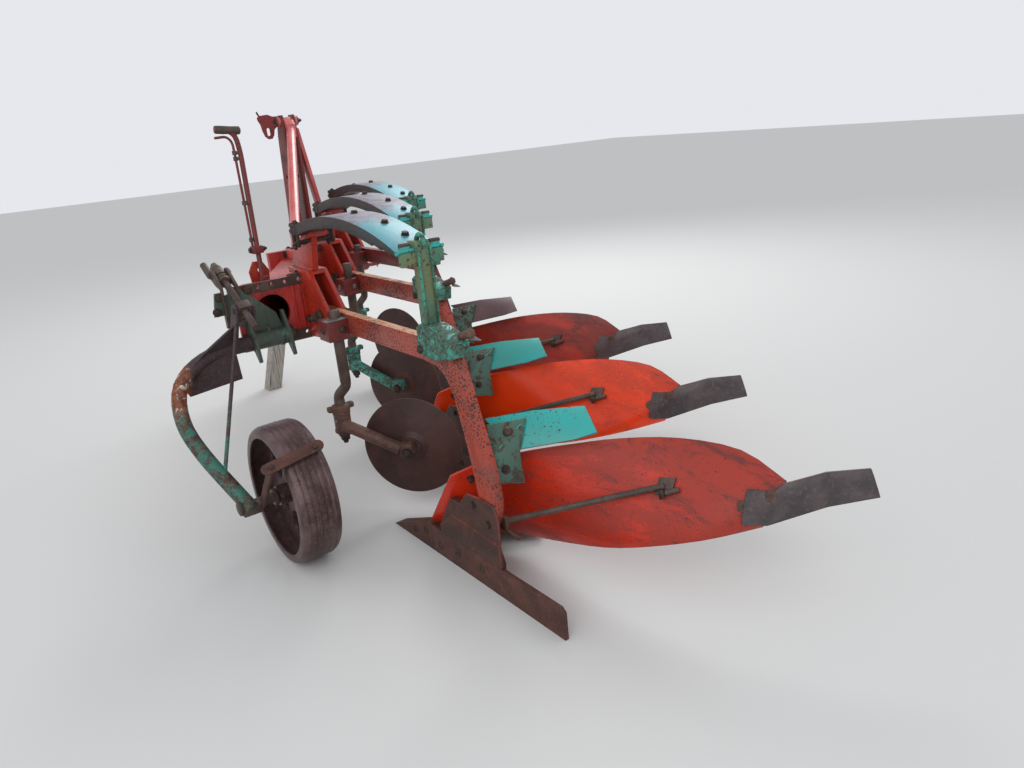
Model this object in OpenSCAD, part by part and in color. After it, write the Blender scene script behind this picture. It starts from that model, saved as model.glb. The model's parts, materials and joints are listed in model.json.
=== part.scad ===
/* [Layout] */
// Width of one furrow, the step across from body to body
furrow_w = 430; // [400:5:460]
// Step along the travel direction from body to body
body_gap = 770; // [740:5:840]
// Number of plough bodies
body_n = 3; // [2:1:3]

/* [Main beam] */
// Width of the diagonal box beam
beam_w = 150; // [130:2:170]
// Height of the diagonal box beam
beam_h = 190; // [160:2:200]
// Wall of the box beam
beam_wall = 10; // [6:1:14]
// Height of the beam's centre line above the ground
beam_z = 809; // [800:1:830]
// Distance of the rear flange ahead of the rear heel
flange_y = 1540; // [1520:5:1560]
// Width of a bolted beam flange
flange_w = 325; // [310:5:360]
// Height of a bolted beam flange
flange_h = 262; // [240:2:280]
// Thickness of a beam flange
flange_t = 16; // [12:1:20]
// Diameter of the window in the rear flange
window_d = 144; // [100:2:150]
// Bolt hole diameter in the flange
flange_hole_d = 17; // [13:1:21]
// Spacing of the flange holes across
flange_hole_gap = 57; // [50:1:64]

/* [Leg and spring] */
// Thickness of a leg
leg_t = 36; // [30:1:40]
// Distance of the leg's land side face from the landside plane
leg_x = 10; // [10:1:16]
// Depth of the leg's level arm
leg_arm_h = 77; // [70:1:84]
// Height of the top of the leg's level arm
leg_top = 815; // [805:1:825]
// Thickness of a bracket cheek
cheek_t = 16; // [12:1:18]
// Gap between leg and cheek
cheek_gap = 6; // [2:0.5:8]
// Radius of the top leaf
spring_r = 1200; // [1100:10:1300]
// Width of a spring leaf
spring_w = 150; // [130:1:160]
// Thickness of a spring leaf
leaf_t = 8; // [7:0.5:10]
// Height of the spring's crown
spring_top = 1189; // [1175:1:1200]

/* [Plough body] */
// Height of the landside bar
landside_h = 105; // [90:1:120]
// Thickness of the landside bar
landside_t = 14; // [10:1:16]
// Length of the landside bar
landside_l = 690; // [640:5:700]
// Thickness of the mouldboard
board_t = 9; // [7:0.5:12]
// Diameter of the stay rods
stay_d = 20; // [16:1:24]

/* [Disc coulters] */
// Diameter of a disc coulter
disc_d = 400; // [360:5:410]
// Thickness of a disc coulter
disc_t = 5; // [4:0.5:8]
// Height of the disc's axle
disc_z = 270; // [255:1:290]
// Diameter of the coulter stem
stem_d = 42; // [36:1:46]
// Length of the coulter arm from the swivel to the disc's axle
coulter_reach = 278; // [260:1:290]
// Swing of the rear coulter as it stands
swing_rear = 42; // [10:1:52]
// Swing of the middle coulter as it stands
swing_middle = 29; // [10:1:52]
// Swing of the front coulter as it stands
swing_front = 20; // [10:1:52]

/* [Depth wheel] */
// Diameter of the depth wheel
wheel_d = 515; // [480:5:530]
// Width of the depth wheel's rim
wheel_w = 145; // [125:1:150]
// Wall of the pressed rim
rim_t = 6; // [4:0.5:8]
// Diameter of the wheel's axle
axle_d = 36; // [30:1:40]
// Running clearance round shafts, on the radius
run_gap = 0.05; // [0.03:0.01:0.1]
// Diameter of the wheel arm's tube
arm_d = 54; // [46:1:60]
// Diameter of the depth screw
screw_d = 26; // [22:1:30]

/* [Headstock] */
// Height of the lower hitch pins
hitch_z = 640; // [600:5:660]
// Distance between the lower hitch pin shoulders
hitch_w = 825; // [800:5:850]
// Diameter of a lower hitch pin
hitch_pin_d = 28; // [22:1:36.6]
// Height of the top link pin above the lower pins
mast_h = 610; // [560:5:660]
// Diameter of the top link bore
top_bore_d = 25.7; // [19:0.1:32]
// Height of the strut pin at the mast's head
mast_head_z = 1560; // [1500:5:1600]
// Free length of a lower hitch pin
hitch_pin_l = 90; // [60:1:110]
// Width of the square prop post
prop_w = 80; // [60:1:110]

/* [Hidden] */
$fn = 64;

// the beam runs from body to body, so its heading follows from the two steps
beam_turn = atan2(furrow_w, body_gap);
beam_step = norm([furrow_w, body_gap]);
beam_x0 = -125;
last = body_n - 1;
front_face = flange_y + last * body_gap + flange_t;
head_x = beam_x0 + last * furrow_w - 65;
head_y = front_face - 6;
shaft_d = 60;
shaft_y = front_face + 94;
flange_x0 = beam_x0 - flange_w / 2;
flange_hole_x = beam_x0 + 16.5;
flange_top = beam_z + flange_h / 2;
flange_low = beam_z - flange_h / 2;

leg_mid = leg_x + leg_t / 2;
cheek_left = leg_x - cheek_gap - cheek_t;
cheek_right = leg_x + leg_t + cheek_gap;
leg_low = leg_top - leg_arm_h;
leg_pivot = [flange_y - 155, leg_top - 32];
leg_pin_d = 36;
post_x = 6;
post_t = 24;
spring_y = 1085;
spring_z = spring_top - spring_r;
spring_rear_y = 612;
link_w = 52;
spring_front_y = flange_y - 70;
saddle_top = 864;
bracket_top = flange_top + 21;

stem_x = -20;
stem_y = flange_y - 310;
stem_offset = [-22, 40];
spindle = [stem_x + stem_offset[0], stem_y + stem_offset[1]];
stem_tops = [832, 870, 838];
crank_top = 548;
crank_low = 470;
cap_z = 425;
housing_low = 335;
housing_d = 66;
spindle_d = 34;
arm_bar_d = 48;

wheel_x = -355;
wheel_y = flange_y - 470;
wheel_z = wheel_d / 2;
pivot_y = flange_y - 50;
pivot_z = 720;
pivot_d = 44;
arm_end_x = -512;
tail_tip = [731, -521, 372];
share_x = leg_x + leg_t - 0.5;
shin_x = leg_x + 4;
screw_x = -306;
lug = [pivot_y - 109, 877];
yoke_pin = [flange_y + 50, 990];
trunnion_d = 16;

mount_x0 = -268;
mount_x1 = -108;
mount_y = flange_y - flange_t - 12;
hub_x0 = screw_x - 36;
hub_x1 = mount_x0 - 2;
// the wheel arm bows outwards round the land side of the wheel
arm_path = rounded([
    [hub_x0 + 4, pivot_y, pivot_z], [-470, pivot_y - 38, 715],
    [-585, pivot_y - 75, 650], [-612, pivot_y - 120, 520],
    [-590, pivot_y - 240, 420], [arm_end_x, wheel_y - 14, wheel_z - 12]
], 90, 4);

top_link_z = hitch_z + mast_h;
top_link_y = head_y + 30;

function at_body(k) = [k * furrow_w, k * body_gap, 0];
function unit(v) = v / norm(v);
function swing(k) = [swing_rear, swing_middle, swing_front][k];

// every solid is drawn from the rear heel and moved once, so that the origin
// is on the ground under the middle of the whole plough
left_x = min([for (p = arm_path) p[0]]) - arm_d / 2;
right_x = last * furrow_w + tail_tip[0];
rear_y = tail_tip[1] - 5.4;
front_y = shaft_y + prop_w / 2;
module field() translate([-(left_x + right_x) / 2, -(rear_y + front_y) / 2, 0]) children();
module each_body() for (k = [0 : last]) translate(at_body(k)) children();

// lays a flat outline of along and up values on edge, as thick as x0 to x1
module on_edge(x0, x1)
    translate([x0, 0, 0]) rotate([90, 0, 90]) linear_extrude(x1 - x0) children();

// stands a flat outline of across and up values upright, as thick as y0 to y1
module upright(y0, y1)
    translate([0, y1, 0]) rotate([90, 0, 0]) linear_extrude(y1 - y0) children();

// round bar between two points
module bar(a, b, d) {
    v = b - a;
    l = norm(v);
    translate(a) rotate([0, acos(v[2] / l), atan2(v[1], v[0])]) cylinder(d = d, h = l);
}

// rounds each corner of a path, starting r away from it
function rounded(p, r, n) = concat([p[0]], [
    for (i = [1 : len(p) - 2]) let (
        a = p[i] + unit(p[i - 1] - p[i]) * min(r, norm(p[i - 1] - p[i]) * 0.49),
        b = p[i] + unit(p[i + 1] - p[i]) * min(r, norm(p[i + 1] - p[i]) * 0.49)
    ) for (j = [0 : n]) let (t = j / n) a * (1 - t) * (1 - t) + p[i] * 2 * t * (1 - t) + b * t * t
], [p[len(p) - 1]]);
function heading(p, i) = unit(p[min(i + 1, len(p) - 1)] - p[max(i - 1, 0)]);
function square_to(v, t) = unit(v - t * (v * t));
// side vectors carried along the path without a twist
function sides(p, v, i = 0) = i >= len(p) ? [] :
    let (w = square_to(v, heading(p, i))) concat([w], sides(p, w, i + 1));

// round bar bent along a path
module bent_bar(path, d, n = 14) {
    side = sides(path, abs(heading(path, 0)[2]) < 0.9 ? [0, 0, 1] : [0, 1, 0]);
    rings = [for (i = [0 : len(path) - 1]) let (u = side[i], v = cross(heading(path, i), u))
        for (a = [0 : n - 1]) path[i] + d / 2 * (cos(a * 360 / n) * u + sin(a * 360 / n) * v)];
    end = (len(path) - 1) * n;
    polyhedron(rings, concat(
        [[for (a = [0 : n - 1]) a]], [[for (a = [n - 1 : -1 : 0]) end + a]],
        [for (i = [0 : len(path) - 2]) for (a = [0 : n - 1]) let (b = (a + 1) % n, o = i * n)
            each [[o + a, o + n + b, o + b], [o + a, o + n + a, o + n + b]]]
    ));
}

module cross_pin(x0, x1, y, z, d)
    translate([x0, y, z]) rotate([0, 90, 0]) cylinder(d = d, h = x1 - x0);

// a sheet over a grid of points, thick t along its normals
function sheet_normal(g, i, j) = let (
    n = len(g) - 1, m = len(g[0]) - 1,
    along = g[min(i + 1, n)][j] - g[max(i - 1, 0)][j],
    up = g[i][min(j + 1, m)] - g[i][max(j - 1, 0)]
) unit(cross(along, up));
module sheet(g, t) {
    n = len(g);
    m = len(g[0]);
    skin = [for (i = [0 : n - 1]) for (j = [0 : m - 1]) g[i][j]];
    core = [for (i = [0 : n - 1]) for (j = [0 : m - 1]) g[i][j] + t * sheet_normal(g, i, j)];
    function id(i, j) = i * m + j;
    far = n * m;
    cells = [for (i = [0 : n - 2]) for (j = [0 : m - 2])
        [id(i, j), id(i + 1, j), id(i + 1, j + 1), id(i, j + 1)]];
    rim = concat(
        [for (i = [0 : n - 1]) id(i, 0)], [for (j = [1 : m - 1]) id(n - 1, j)],
        [for (i = [n - 2 : -1 : 0]) id(i, m - 1)], [for (j = [m - 2 : -1 : 1]) id(0, j)]
    );
    polyhedron(concat(skin, core), concat(
        [for (c = cells) [c[0], c[1], c[2]]], [for (c = cells) [c[0], c[2], c[3]]],
        [for (c = cells) [c[2] + far, c[1] + far, c[0] + far]],
        [for (c = cells) [c[3] + far, c[2] + far, c[0] + far]],
        [for (i = [0 : len(rim) - 1]) let (a = rim[i], b = rim[(i + 1) % len(rim)]) [a, a + far, b + far]],
        [for (i = [0 : len(rim) - 1]) let (a = rim[i], b = rim[(i + 1) % len(rim)]) [a, b + far, b]]
    ));
}

module beam_line(w, h, y0, y1)
    translate([beam_x0, flange_y, beam_z]) rotate([0, 0, -beam_turn])
        translate([-w / 2, y0, -h / 2]) cube([w, y1 - y0, h]);

module main_beam() color("orangered") field() difference() {
    beam_line(beam_w, beam_h, -200, last * beam_step + 200);
    beam_line(beam_w - 2 * beam_wall, beam_h - 2 * beam_wall, -210, last * beam_step + 210);
    translate([-1000, flange_y - 1000, 0]) cube([2000, 1000, 2000]);
    for (k = [1 : last]) translate(at_body(k)) translate([-1000, flange_y - flange_t, 0])
        cube([2000, k == last ? 1000 : 2 * flange_t, 2000]);
}

module flange_plate(y0) difference() {
    translate([flange_x0, y0, flange_low]) cube([flange_w, flange_t, flange_h]);
    translate([beam_x0 - 25, y0 - 1, beam_z + 3]) rotate([-90, 0, 0]) cylinder(d = window_d, h = flange_t + 2);
    for (i = [-1.5 : 1 : 1.5]) for (z = [flange_low + 28, flange_top - 16])
        translate([flange_hole_x + i * flange_hole_gap, y0 - 1, z]) rotate([-90, 0, 0])
            cylinder(d = flange_hole_d, h = flange_t + 2);
}

module beam_flanges() color("firebrick") field() {
    flange_plate(flange_y - flange_t);
    for (k = [1 : last]) translate(at_body(k)) {
        flange_plate(flange_y - flange_t);
        flange_plate(flange_y);
    }
}

module cheek_outline() polygon([
    [flange_y - flange_t, flange_low + 6], [flange_y - 116, flange_low + 14], [flange_y - 215, 745],
    [flange_y - 225, 812], [flange_y - 100, bracket_top],
    [flange_y + 100, bracket_top], [flange_y + 100, flange_top],
    [flange_y - flange_t, flange_top]
]);

// the room that the leaves take above the post
module leaf_band() translate([spring_y, spring_z]) difference() {
    circle(r = spring_r + 200, $fn = 256);
    circle(r = spring_r - len(leaves) * leaf_t, $fn = 256);
}

// two cheeks that hold the leg, a plate across them, and the tapered post under the spring
module leg_brackets() color("orangered") field() each_body() {
    for (x = [cheek_left, cheek_right]) difference() {
        on_edge(x, x + cheek_t) cheek_outline();
        cross_pin(x - 1, x + cheek_t + 1, leg_pivot[0], leg_pivot[1], leg_pin_d);
    }
    on_edge(cheek_left + cheek_t, cheek_right) polygon([
        [flange_y - 100, bracket_top], [flange_y - 113, bracket_top - 16], [flange_y + 100, bracket_top - 16],
        [flange_y + 100, bracket_top]
    ]);
    on_edge(post_x, post_x + post_t) difference() {
        polygon([
            [flange_y + 100, bracket_top], [spring_front_y + 28, spring_top],
            [spring_front_y - 108, spring_top],
            [flange_y - 110, bracket_top]
        ]);
        leaf_band();
    }
    on_edge(leg_mid - 38, leg_mid + 38) intersection() {
        translate([spring_front_y - 104, spring_top - 170]) square([124, 170]);
        translate([spring_y, spring_z]) difference() {
            circle(r = spring_r - len(leaves) * leaf_t, $fn = 256);
            circle(r = spring_r - len(leaves) * leaf_t - 16, $fn = 256);
        }
    }
}

module leg_pivots() color("dimgray") field() each_body() {
    cross_pin(cheek_left - 14, cheek_right + cheek_t + 14, leg_pivot[0], leg_pivot[1], leg_pin_d);
    cross_pin(cheek_left - 14, cheek_left - 0.3, leg_pivot[0], leg_pivot[1], leg_pin_d + 22);
    cross_pin(
        cheek_right + cheek_t + 0.3, cheek_right + cheek_t + 14,
        leg_pivot[0], leg_pivot[1], leg_pin_d + 22
    );
}

// one leaf: an arc band between two places along the plough
module leaf(r, y0, y1)
    on_edge(leg_mid - spring_w / 2, leg_mid + spring_w / 2) intersection() {
        translate([spring_y, spring_z]) difference() {
            circle(r = r, $fn = 256);
            circle(r = r - leaf_t, $fn = 256);
        }
        translate([y0, 900]) square([y1 - y0, 400]);
    }

// leaves from the top down: how far each is cut back from the rear end and from the front end
leaves = [[0, 0], [4, 4], [48, 18], [108, 34], [168, 70]];
module leaf_spring(k) color("cadetblue") field() translate(at_body(k))
    for (i = [0 : len(leaves) - 1])
        leaf(spring_r - i * leaf_t, spring_rear_y + leaves[i][0], spring_front_y - leaves[i][1]);
module spring_rear() leaf_spring(0);
module spring_middle() leaf_spring(1);
module spring_front() leaf_spring(2);

// a link hooks over the rear end of each spring and stands on the saddle, between two clips on the leaves
module spring_links() color("darkslategray") field() each_body() {
    on_edge(leg_mid - link_w / 2, leg_mid + link_w / 2) difference() {
        polygon([
            [spring_rear_y - 30, saddle_top], [spring_rear_y - 2, saddle_top], [spring_rear_y - 2, 1070],
            [spring_rear_y + 26, 1070], [spring_rear_y + 32, 1112], [spring_rear_y + 18, 1126],
            [spring_rear_y - 18, 1126], [spring_rear_y - 30, 1112]
        ]);
        intersection() {
            translate([spring_y, spring_z]) circle(r = spring_r, $fn = 256);
            translate([spring_rear_y - 1.9, 900]) square([100, 400]);
        }
    }
    for (x = [leg_mid - spring_w / 2, leg_mid + link_w / 2]) on_edge(x, x + (spring_w - link_w) / 2)
        translate([spring_rear_y - 22, 1052]) square([21, 42]);
}

// leg outline seen from the land side: a level arm and a tail that sweeps down
module leg_outline() polygon([
    [leg_pivot[0] + 35, leg_top], [560, leg_top], [500, leg_top - 12], [468, leg_top - 36],
    [415, 690], [388, 601], [350, 500], [327, 426], [314, 340], [318, 300], [334, 250], [362, 205], [392, 190],
    [402, 330], [424, 445], [452, 553], [478, 643], [512, 701], [562, leg_low - 6], [640, leg_low],
    [leg_pivot[0] + 35, leg_low]
]);

module plough_leg(k) color("orangered") field() translate(at_body(k)) difference() {
    on_edge(leg_x, leg_x + leg_t) leg_outline();
    cross_pin(leg_x - 1, leg_x + leg_t + 1, leg_pivot[0], leg_pivot[1], leg_pin_d + 2 * run_gap);
}
module leg_rear() plough_leg(0);
module leg_middle() plough_leg(1);
module leg_front() plough_leg(2);

module leg_saddles() color("cadetblue") field() each_body() difference() {
    on_edge(leg_x - 14, leg_x + leg_t + 14) polygon([
        [spring_rear_y - 172, 776], [spring_rear_y - 182, 826], [spring_rear_y - 120, 850],
        [spring_rear_y - 62, saddle_top], [spring_rear_y + 4, saddle_top], [spring_rear_y + 26, 850],
        [spring_rear_y + 30, 764], [spring_rear_y - 50, 752]
    ]);
    on_edge(leg_x, leg_x + leg_t) leg_outline();
}

module frogs() color("saddlebrown") field() each_body() {
    on_edge(0, leg_x) polygon([[659, landside_h], [659, 130], [577, 199], [300, 189], [302, landside_h]]);
    on_edge(4, leg_x) polygon([[577, 199], [470, 315], [380, 325], [320, 322], [297, 282], [300, 189]]);
    on_edge(landside_t + 0.3, share_x - 4) polygon([
        [730, 20], [730, 90], [697, 104], [641, 186], [597, 250], [408, 250],
        [408, 190], [352, 150], [330, 100], [340, 40], [400, 20]
    ]);
    on_edge(share_x - 4, share_x + 7) polygon([[730, 20], [730, 53], [700, 60.9], [640, 60.9], [640, 20]]);
}

module landsides() color("saddlebrown") field() each_body()
    on_edge(0, landside_t) polygon([
        [0, 0], [0, landside_h - 14], [16, landside_h], [landside_l + 40, landside_h], [landside_l + 40, 0]
    ]);

module share_points() color("saddlebrown") field() each_body()
    on_edge(0, share_x - 0.3) polygon([
        [1025, 0], [1007, 10], [757, 109], [landside_l + 40, 109], [landside_l + 40, 0]
    ]);

share_seat = 3.4;
module shares() color("saddlebrown") field() each_body()
    sheet([for (s = [0 : 0.25 : 1]) [
        [share_x + share_seat + s * 345, 960 - s * 400, 8.6],
        [share_x + share_seat + s * 265, 700 - s * 190, 72 - s * 30]
    ]], board_t);

// stations of the mouldboard from shin to tail: bottom x, y, z, top x, y, z, hollow
stations = [
    [shin_x, 745, 119, shin_x, 572, 346, 0],
    [130, 640, 66, 110, 500, 388, 18],
    [225, 545, 60, 198, 427, 410, 34],
    [262, 330, 96, 300, 270, 450, 44],
    [285, 120, 145, 400, 145, 470, 48],
    [335, -30, 187, 500, -10, 480, 46],
    [400, -170, 237, 560, -190, 472, 38],
    [515, -295, 288, 550, -350, 430, 20]
];
hollow_dir = unit([-0.8, -0.55, -0.35]);
rows = 8;
steps = 3;
ends = len(stations) - 1;
function board_point(s, t) =
    [s[0], s[1], s[2]] * (1 - t) + [s[3], s[4], s[5]] * t + hollow_dir * s[6] * 4 * t * (1 - t);
// a smooth run through four stations, between the middle two
function smooth(a, b, c, d, t) =
    (b * 2 + (c - a) * t + (a * 2 - b * 5 + c * 4 - d) * t * t + (b * 3 - a - c * 3 + d) * t * t * t) / 2;
function station(u) = let (i = min(floor(u), ends - 1))
    smooth(stations[max(i - 1, 0)], stations[i], stations[i + 1], stations[min(i + 2, ends)], u - i);
module mouldboard(k) color("red") field() translate(at_body(k))
    sheet([for (i = [0 : ends * steps])
        [for (j = [0 : rows]) board_point(station(i / steps), j / rows)]
    ], board_t);
module mouldboard_rear() mouldboard(0);
module mouldboard_middle() mouldboard(1);
module mouldboard_front() mouldboard(2);

// a place on the back of the mouldboard: station u from the shin, t from the lower edge, off it by gap
function board_at(u, t) = board_point(station(u), t);
function board_back(u, t, gap) = let (
    along = board_at(min(u + 0.2, ends), t) - board_at(max(u - 0.2, 0), t),
    up = board_at(u, min(t + 0.1, 1)) - board_at(u, max(t - 0.1, 0))
) board_at(u, t) + (board_t + gap) * unit(cross(along, up));

tail_seat = 2;
module board_tails() color("slategray") field() each_body()
    sheet([
        [for (t = [0.24, 0.4, 0.55, 0.7]) board_back(6.25 + 0.3 * (1 - t), t, tail_seat)],
        [for (t = [0.21, 0.38, 0.56, 0.74]) board_back(6.6, t, tail_seat)],
        [for (t = [0.18, 0.38, 0.6, 0.82]) board_back(6.85, t, tail_seat)],
        [for (t = [0.16, 0.4, 0.7, 0.97]) board_back(ends, t, tail_seat)],
        [[640, -418, 343], [638, -417, 379], [636, -415, 415], [634, -414, 450]],
        [tail_tip, [731, -511, 398], [731, -500, 425], [730, -488, 450]]
    ], board_t);

trash_t = 6;
module trash_boards() color("turquoise") field() each_body()
    sheet([
        [[152.8, 359.2, 452], [112.8, 479.2, 540]],
        [[268, 209, 490], [238, 374, 556]],
        [[320, 164, 508], [362, 266, 560]]
    ], trash_t);

// folded plates that carry the trash boards on the legs
module trash_brackets() color("turquoise") field() each_body()
    sheet([
        [[leg_x + leg_t + 1, 352, 374], [leg_x + leg_t + 1, 370, 452], [105, 454, 524]],
        [[150, 345, 344], [147, 349, 449], [206, 376, 540]]
    ], 8);

stay_from = [leg_x + leg_t + 8, 340, 243];
module board_stays() color("dimgray") field() each_body() {
    bar(stay_from, board_back(4.97, 0.64, 15), stay_d);
    sheet([for (u = [4.82, 4.97, 5.12]) [for (t = [0.57, 0.64, 0.71]) board_back(u, t, 1.5)]], 8);
}

module coulter_clamps() color("firebrick") field() each_body() difference() {
    translate([stem_x - 54, stem_y - 45, leg_low - 16]) cube([leg_x - stem_x + 54, 90, leg_arm_h + 1]);
    translate([stem_x, stem_y, 0]) cylinder(d = stem_d, h = leg_top + 100);
}

module coulter_stems() color("dimgray") field() for (k = [0 : last]) translate(at_body(k)) {
    translate([stem_x, stem_y, crank_top]) cylinder(d = stem_d, h = stem_tops[k] - crank_top);
    bent_bar(rounded([[stem_x, stem_y, crank_top + 6], [stem_x, stem_y, crank_top - 20],
        [spindle[0], spindle[1], crank_low + 20], [spindle[0], spindle[1], crank_low - 6]], 30, 3), stem_d - 1.6);
    translate([spindle[0], spindle[1], cap_z + 0.3]) cylinder(d = stem_d, h = crank_low - cap_z - 0.3);
    translate([spindle[0], spindle[1], housing_low]) cylinder(d = spindle_d, h = cap_z - housing_low + 1);
    translate([spindle[0], spindle[1], housing_low - 12]) cylinder(d = spindle_d, h = 13);
    translate([spindle[0], spindle[1], housing_low - 12]) cylinder(d = spindle_d + 14, h = 11.7);
}

// the coulter arm is drawn trailing straight back from its spindle, then swung
module swung(k) translate([spindle[0], spindle[1], 0]) rotate([0, 0, swing(k)]) children();
module coulter_arm(k) color("teal") field() translate(at_body(k)) swung(k) {
    difference() {
        union() {
            translate([0, 0, housing_low]) cylinder(d = housing_d, h = cap_z - housing_low);
            bar([-24, -14, 374], [-54, -coulter_reach + 30, disc_z + 10], arm_bar_d);
        }
        translate([0, 0, housing_low - 1]) cylinder(r = spindle_d / 2 + run_gap, h = cap_z - housing_low + 2);
    }
    translate([-70, -coulter_reach - 20, disc_z - 14]) cube([46, 52, 48]);
    cross_pin(-60, -24, -coulter_reach, disc_z, 48);
    cross_pin(-62, 36, -coulter_reach, disc_z, 26);
}
module coulter_arm_rear() coulter_arm(0);
module coulter_arm_middle() coulter_arm(1);
module coulter_arm_front() coulter_arm(2);

module coulter_disc(k) color("sienna") field() translate(at_body(k)) swung(k) difference() {
    union() {
        cross_pin(-disc_t / 2, disc_t / 2, -coulter_reach, disc_z, disc_d);
        cross_pin(-22, 30, -coulter_reach, disc_z, 78);
    }
    cross_pin(-60, 60, -coulter_reach, disc_z, 26 + 2 * run_gap);
}
module disc_rear() coulter_disc(0);
module disc_middle() coulter_disc(1);
module disc_front() coulter_disc(2);

module wheel_mount() color("darkslategray") field() {
    upright(mount_y, mount_y + 12) polygon([
        [mount_x0, 735], [-120, 735], [-142, 814], [-207, 876],
        [-276, flange_top], [-286, 924], [flange_x0 - 52, 914],
        [flange_x0 - 52, 790], [mount_x0, 790]
    ]);
    difference() {
        union() {
            cross_pin(mount_x0, mount_x1, pivot_y, pivot_z, 66);
            for (x = [mount_x0 + 4, mount_x1 - 16]) on_edge(x, x + 12) polygon([
                [mount_y + 12, flange_top - 120], [mount_y + 12, pivot_z], [pivot_y, pivot_z - 33],
                [pivot_y - 38, 642], [pivot_y - 50, 648],
                [pivot_y - 36, pivot_z + 10], [mount_y - 6, flange_top - 120]
            ]);
        }
        cross_pin(mount_x0 - 10, mount_x1 + 10, pivot_y, pivot_z, pivot_d + 2 * run_gap);
    }
}

module wheel_pivot_shaft() color("dimgray") field() {
    cross_pin(hub_x1, mount_x1 + 14, pivot_y, pivot_z, pivot_d);
    cross_pin(mount_x1 + 0.3, mount_x1 + 14, pivot_y, pivot_z, 62);
}

// clearance round the axle where the arm's end and the scraper's strap hold it
axle_seat = 0.12;
// the arm's tube with its hub, the fork for the nut, a web up to the fork, a gusset under the bend and a tie
module wheel_arm() color("teal") field() difference() {
    union() {
        bent_bar(arm_path, arm_d, 16);
        cross_pin(hub_x0, hub_x1, pivot_y, pivot_z, 60);
        on_edge(hub_x0, hub_x0 + 10) polygon([
            [pivot_y + 12, pivot_z + 28], [lug[0] + 26, lug[1] + 14],
            [lug[0], lug[1] + 24], [lug[0] - 22, lug[1] + 10],
            [lug[0] - 22, lug[1] - 16], [pivot_y - 30, pivot_z - 10]
        ]);
        on_edge(hub_x1 - 10, hub_x1) polygon([
            [lug[0] - 2, lug[1] - 48], [lug[0] + 30, lug[1] - 48],
            [lug[0] + 26, lug[1] + 14], [lug[0], lug[1] + 24],
            [lug[0] - 22, lug[1] + 10], [lug[0] - 22, lug[1] - 16]
        ]);
        on_edge(hub_x0, hub_x1) translate([lug[0] - 2, lug[1] - 48]) square([32, 10]);
        sheet([
            [[hub_x0 + 8, pivot_y - 10, pivot_z + 6], [hub_x0 + 8, pivot_y - 70, 818]],
            [[-470, pivot_y - 38, 716], [-461, pivot_y - 70, 740]],
            [[-580, pivot_y - 74, 652], [-597, pivot_y - 80, 654]]
        ], 7);
        sheet([
            [[-545, pivot_y - 46, 588], [-575, pivot_y - 60, 650]],
            [[-440, pivot_y - 48, 596], [-460, pivot_y - 42, 712]],
            [[hub_x0 - 2, pivot_y - 48, 603], [hub_x0 - 2, pivot_y - 26, 706]]
        ], 7);
        bar([hub_x0 + 2, lug[0] + 8, lug[1] - 50], [-554, pivot_y - 325, 350], 14);
    }
    cross_pin(hub_x0 - 1, hub_x1 + 1, lug[0], lug[1], trunnion_d + 2 * run_gap);
    cross_pin(arm_end_x - arm_d, wheel_x, wheel_y, wheel_z, axle_d + 2 * axle_seat);
}

module wheel_axle() color("dimgray") field() {
    cross_pin(arm_end_x - arm_d / 2 - 6, wheel_x + 66, wheel_y, wheel_z, axle_d);
    cross_pin(wheel_x - 76, wheel_x - 62, wheel_y, wheel_z, axle_d + 24);
}

// the scraper crosses the tread behind the wheel's top, on a strap from the axle
scraper_turn = 43;
module wheel_scraper() color("saddlebrown") field() translate([wheel_x, wheel_y, wheel_z]) difference() {
    rotate([scraper_turn, 0, 0]) {
        translate([-38, 0, wheel_d / 2 + 13]) rotate([0, -2.9, 7.2]) translate([0, 0, -4])
            linear_extrude(8) {
                translate([-94, -20]) square([188, 40]);
                for (x = [-94, 94]) translate([x, 0]) circle(20);
            }
        translate([-125, -28, 0]) cube([12, 30, wheel_d / 2 + 7]);
    }
    cross_pin(-200, 0, 0, 0, axle_d + 2 * axle_seat);
}

// the rim's section with its web and hub, spun round the axle, and windows through the web
hub_r = 35;
web_r = 135;
module depth_wheel() color("saddlebrown") field() translate([wheel_x, wheel_y, wheel_z]) rotate([0, 90, 0]) {
    r = wheel_d / 2;
    w = wheel_w / 2;
    bore = axle_d / 2 + run_gap;
    difference() {
        rotate_extrude($fn = 96) polygon([
            [bore, -58], [hub_r, -58], [hub_r, -5], [r - rim_t, -5], [r - rim_t, 32 - w], [r - 18, rim_t - w],
            [r - 40, rim_t - w], [r - 40, -w], [r - 14, -w], [r, 28 - w], [r, w - 28], [r - 14, w], [r - 40, w],
            [r - 40, w - rim_t], [r - 18, w - rim_t], [r - rim_t, w - 32], [r - rim_t, 5], [hub_r, 5],
            [hub_r, 58], [bore, 58]
        ]);
        for (a = [0 : 60 : 300]) rotate([0, 0, a]) translate([web_r, 0, -6]) cylinder(d = 104, h = 12);
    }
}

screw_lean = atan2(yoke_pin[1] - lug[1], yoke_pin[0] - lug[0]);
module along_screw() translate([screw_x, lug[0], lug[1]]) rotate([screw_lean - 90, 0, 0]) children();
screw_up = norm(yoke_pin - lug);
yoke_gap = 48;

module screw_yoke() color("darkslategray") field() {
    for (x = [screw_x - yoke_gap / 2 - 10, screw_x + yoke_gap / 2]) difference() {
        union() {
            on_edge(x, x + 10) polygon([
                [mount_y, 800], [mount_y, 941], [flange_y + 20, 952], [yoke_pin[0] + 18, yoke_pin[1] - 14],
                [yoke_pin[0] + 14, yoke_pin[1] + 18], [yoke_pin[0] - 18, yoke_pin[1] + 16],
                [mount_y - 14, 950], [mount_y - 14, 800]
            ]);
        }
        cross_pin(x - 1, x + 11, yoke_pin[0], yoke_pin[1], trunnion_d + 2 * run_gap);
    }
}

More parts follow.
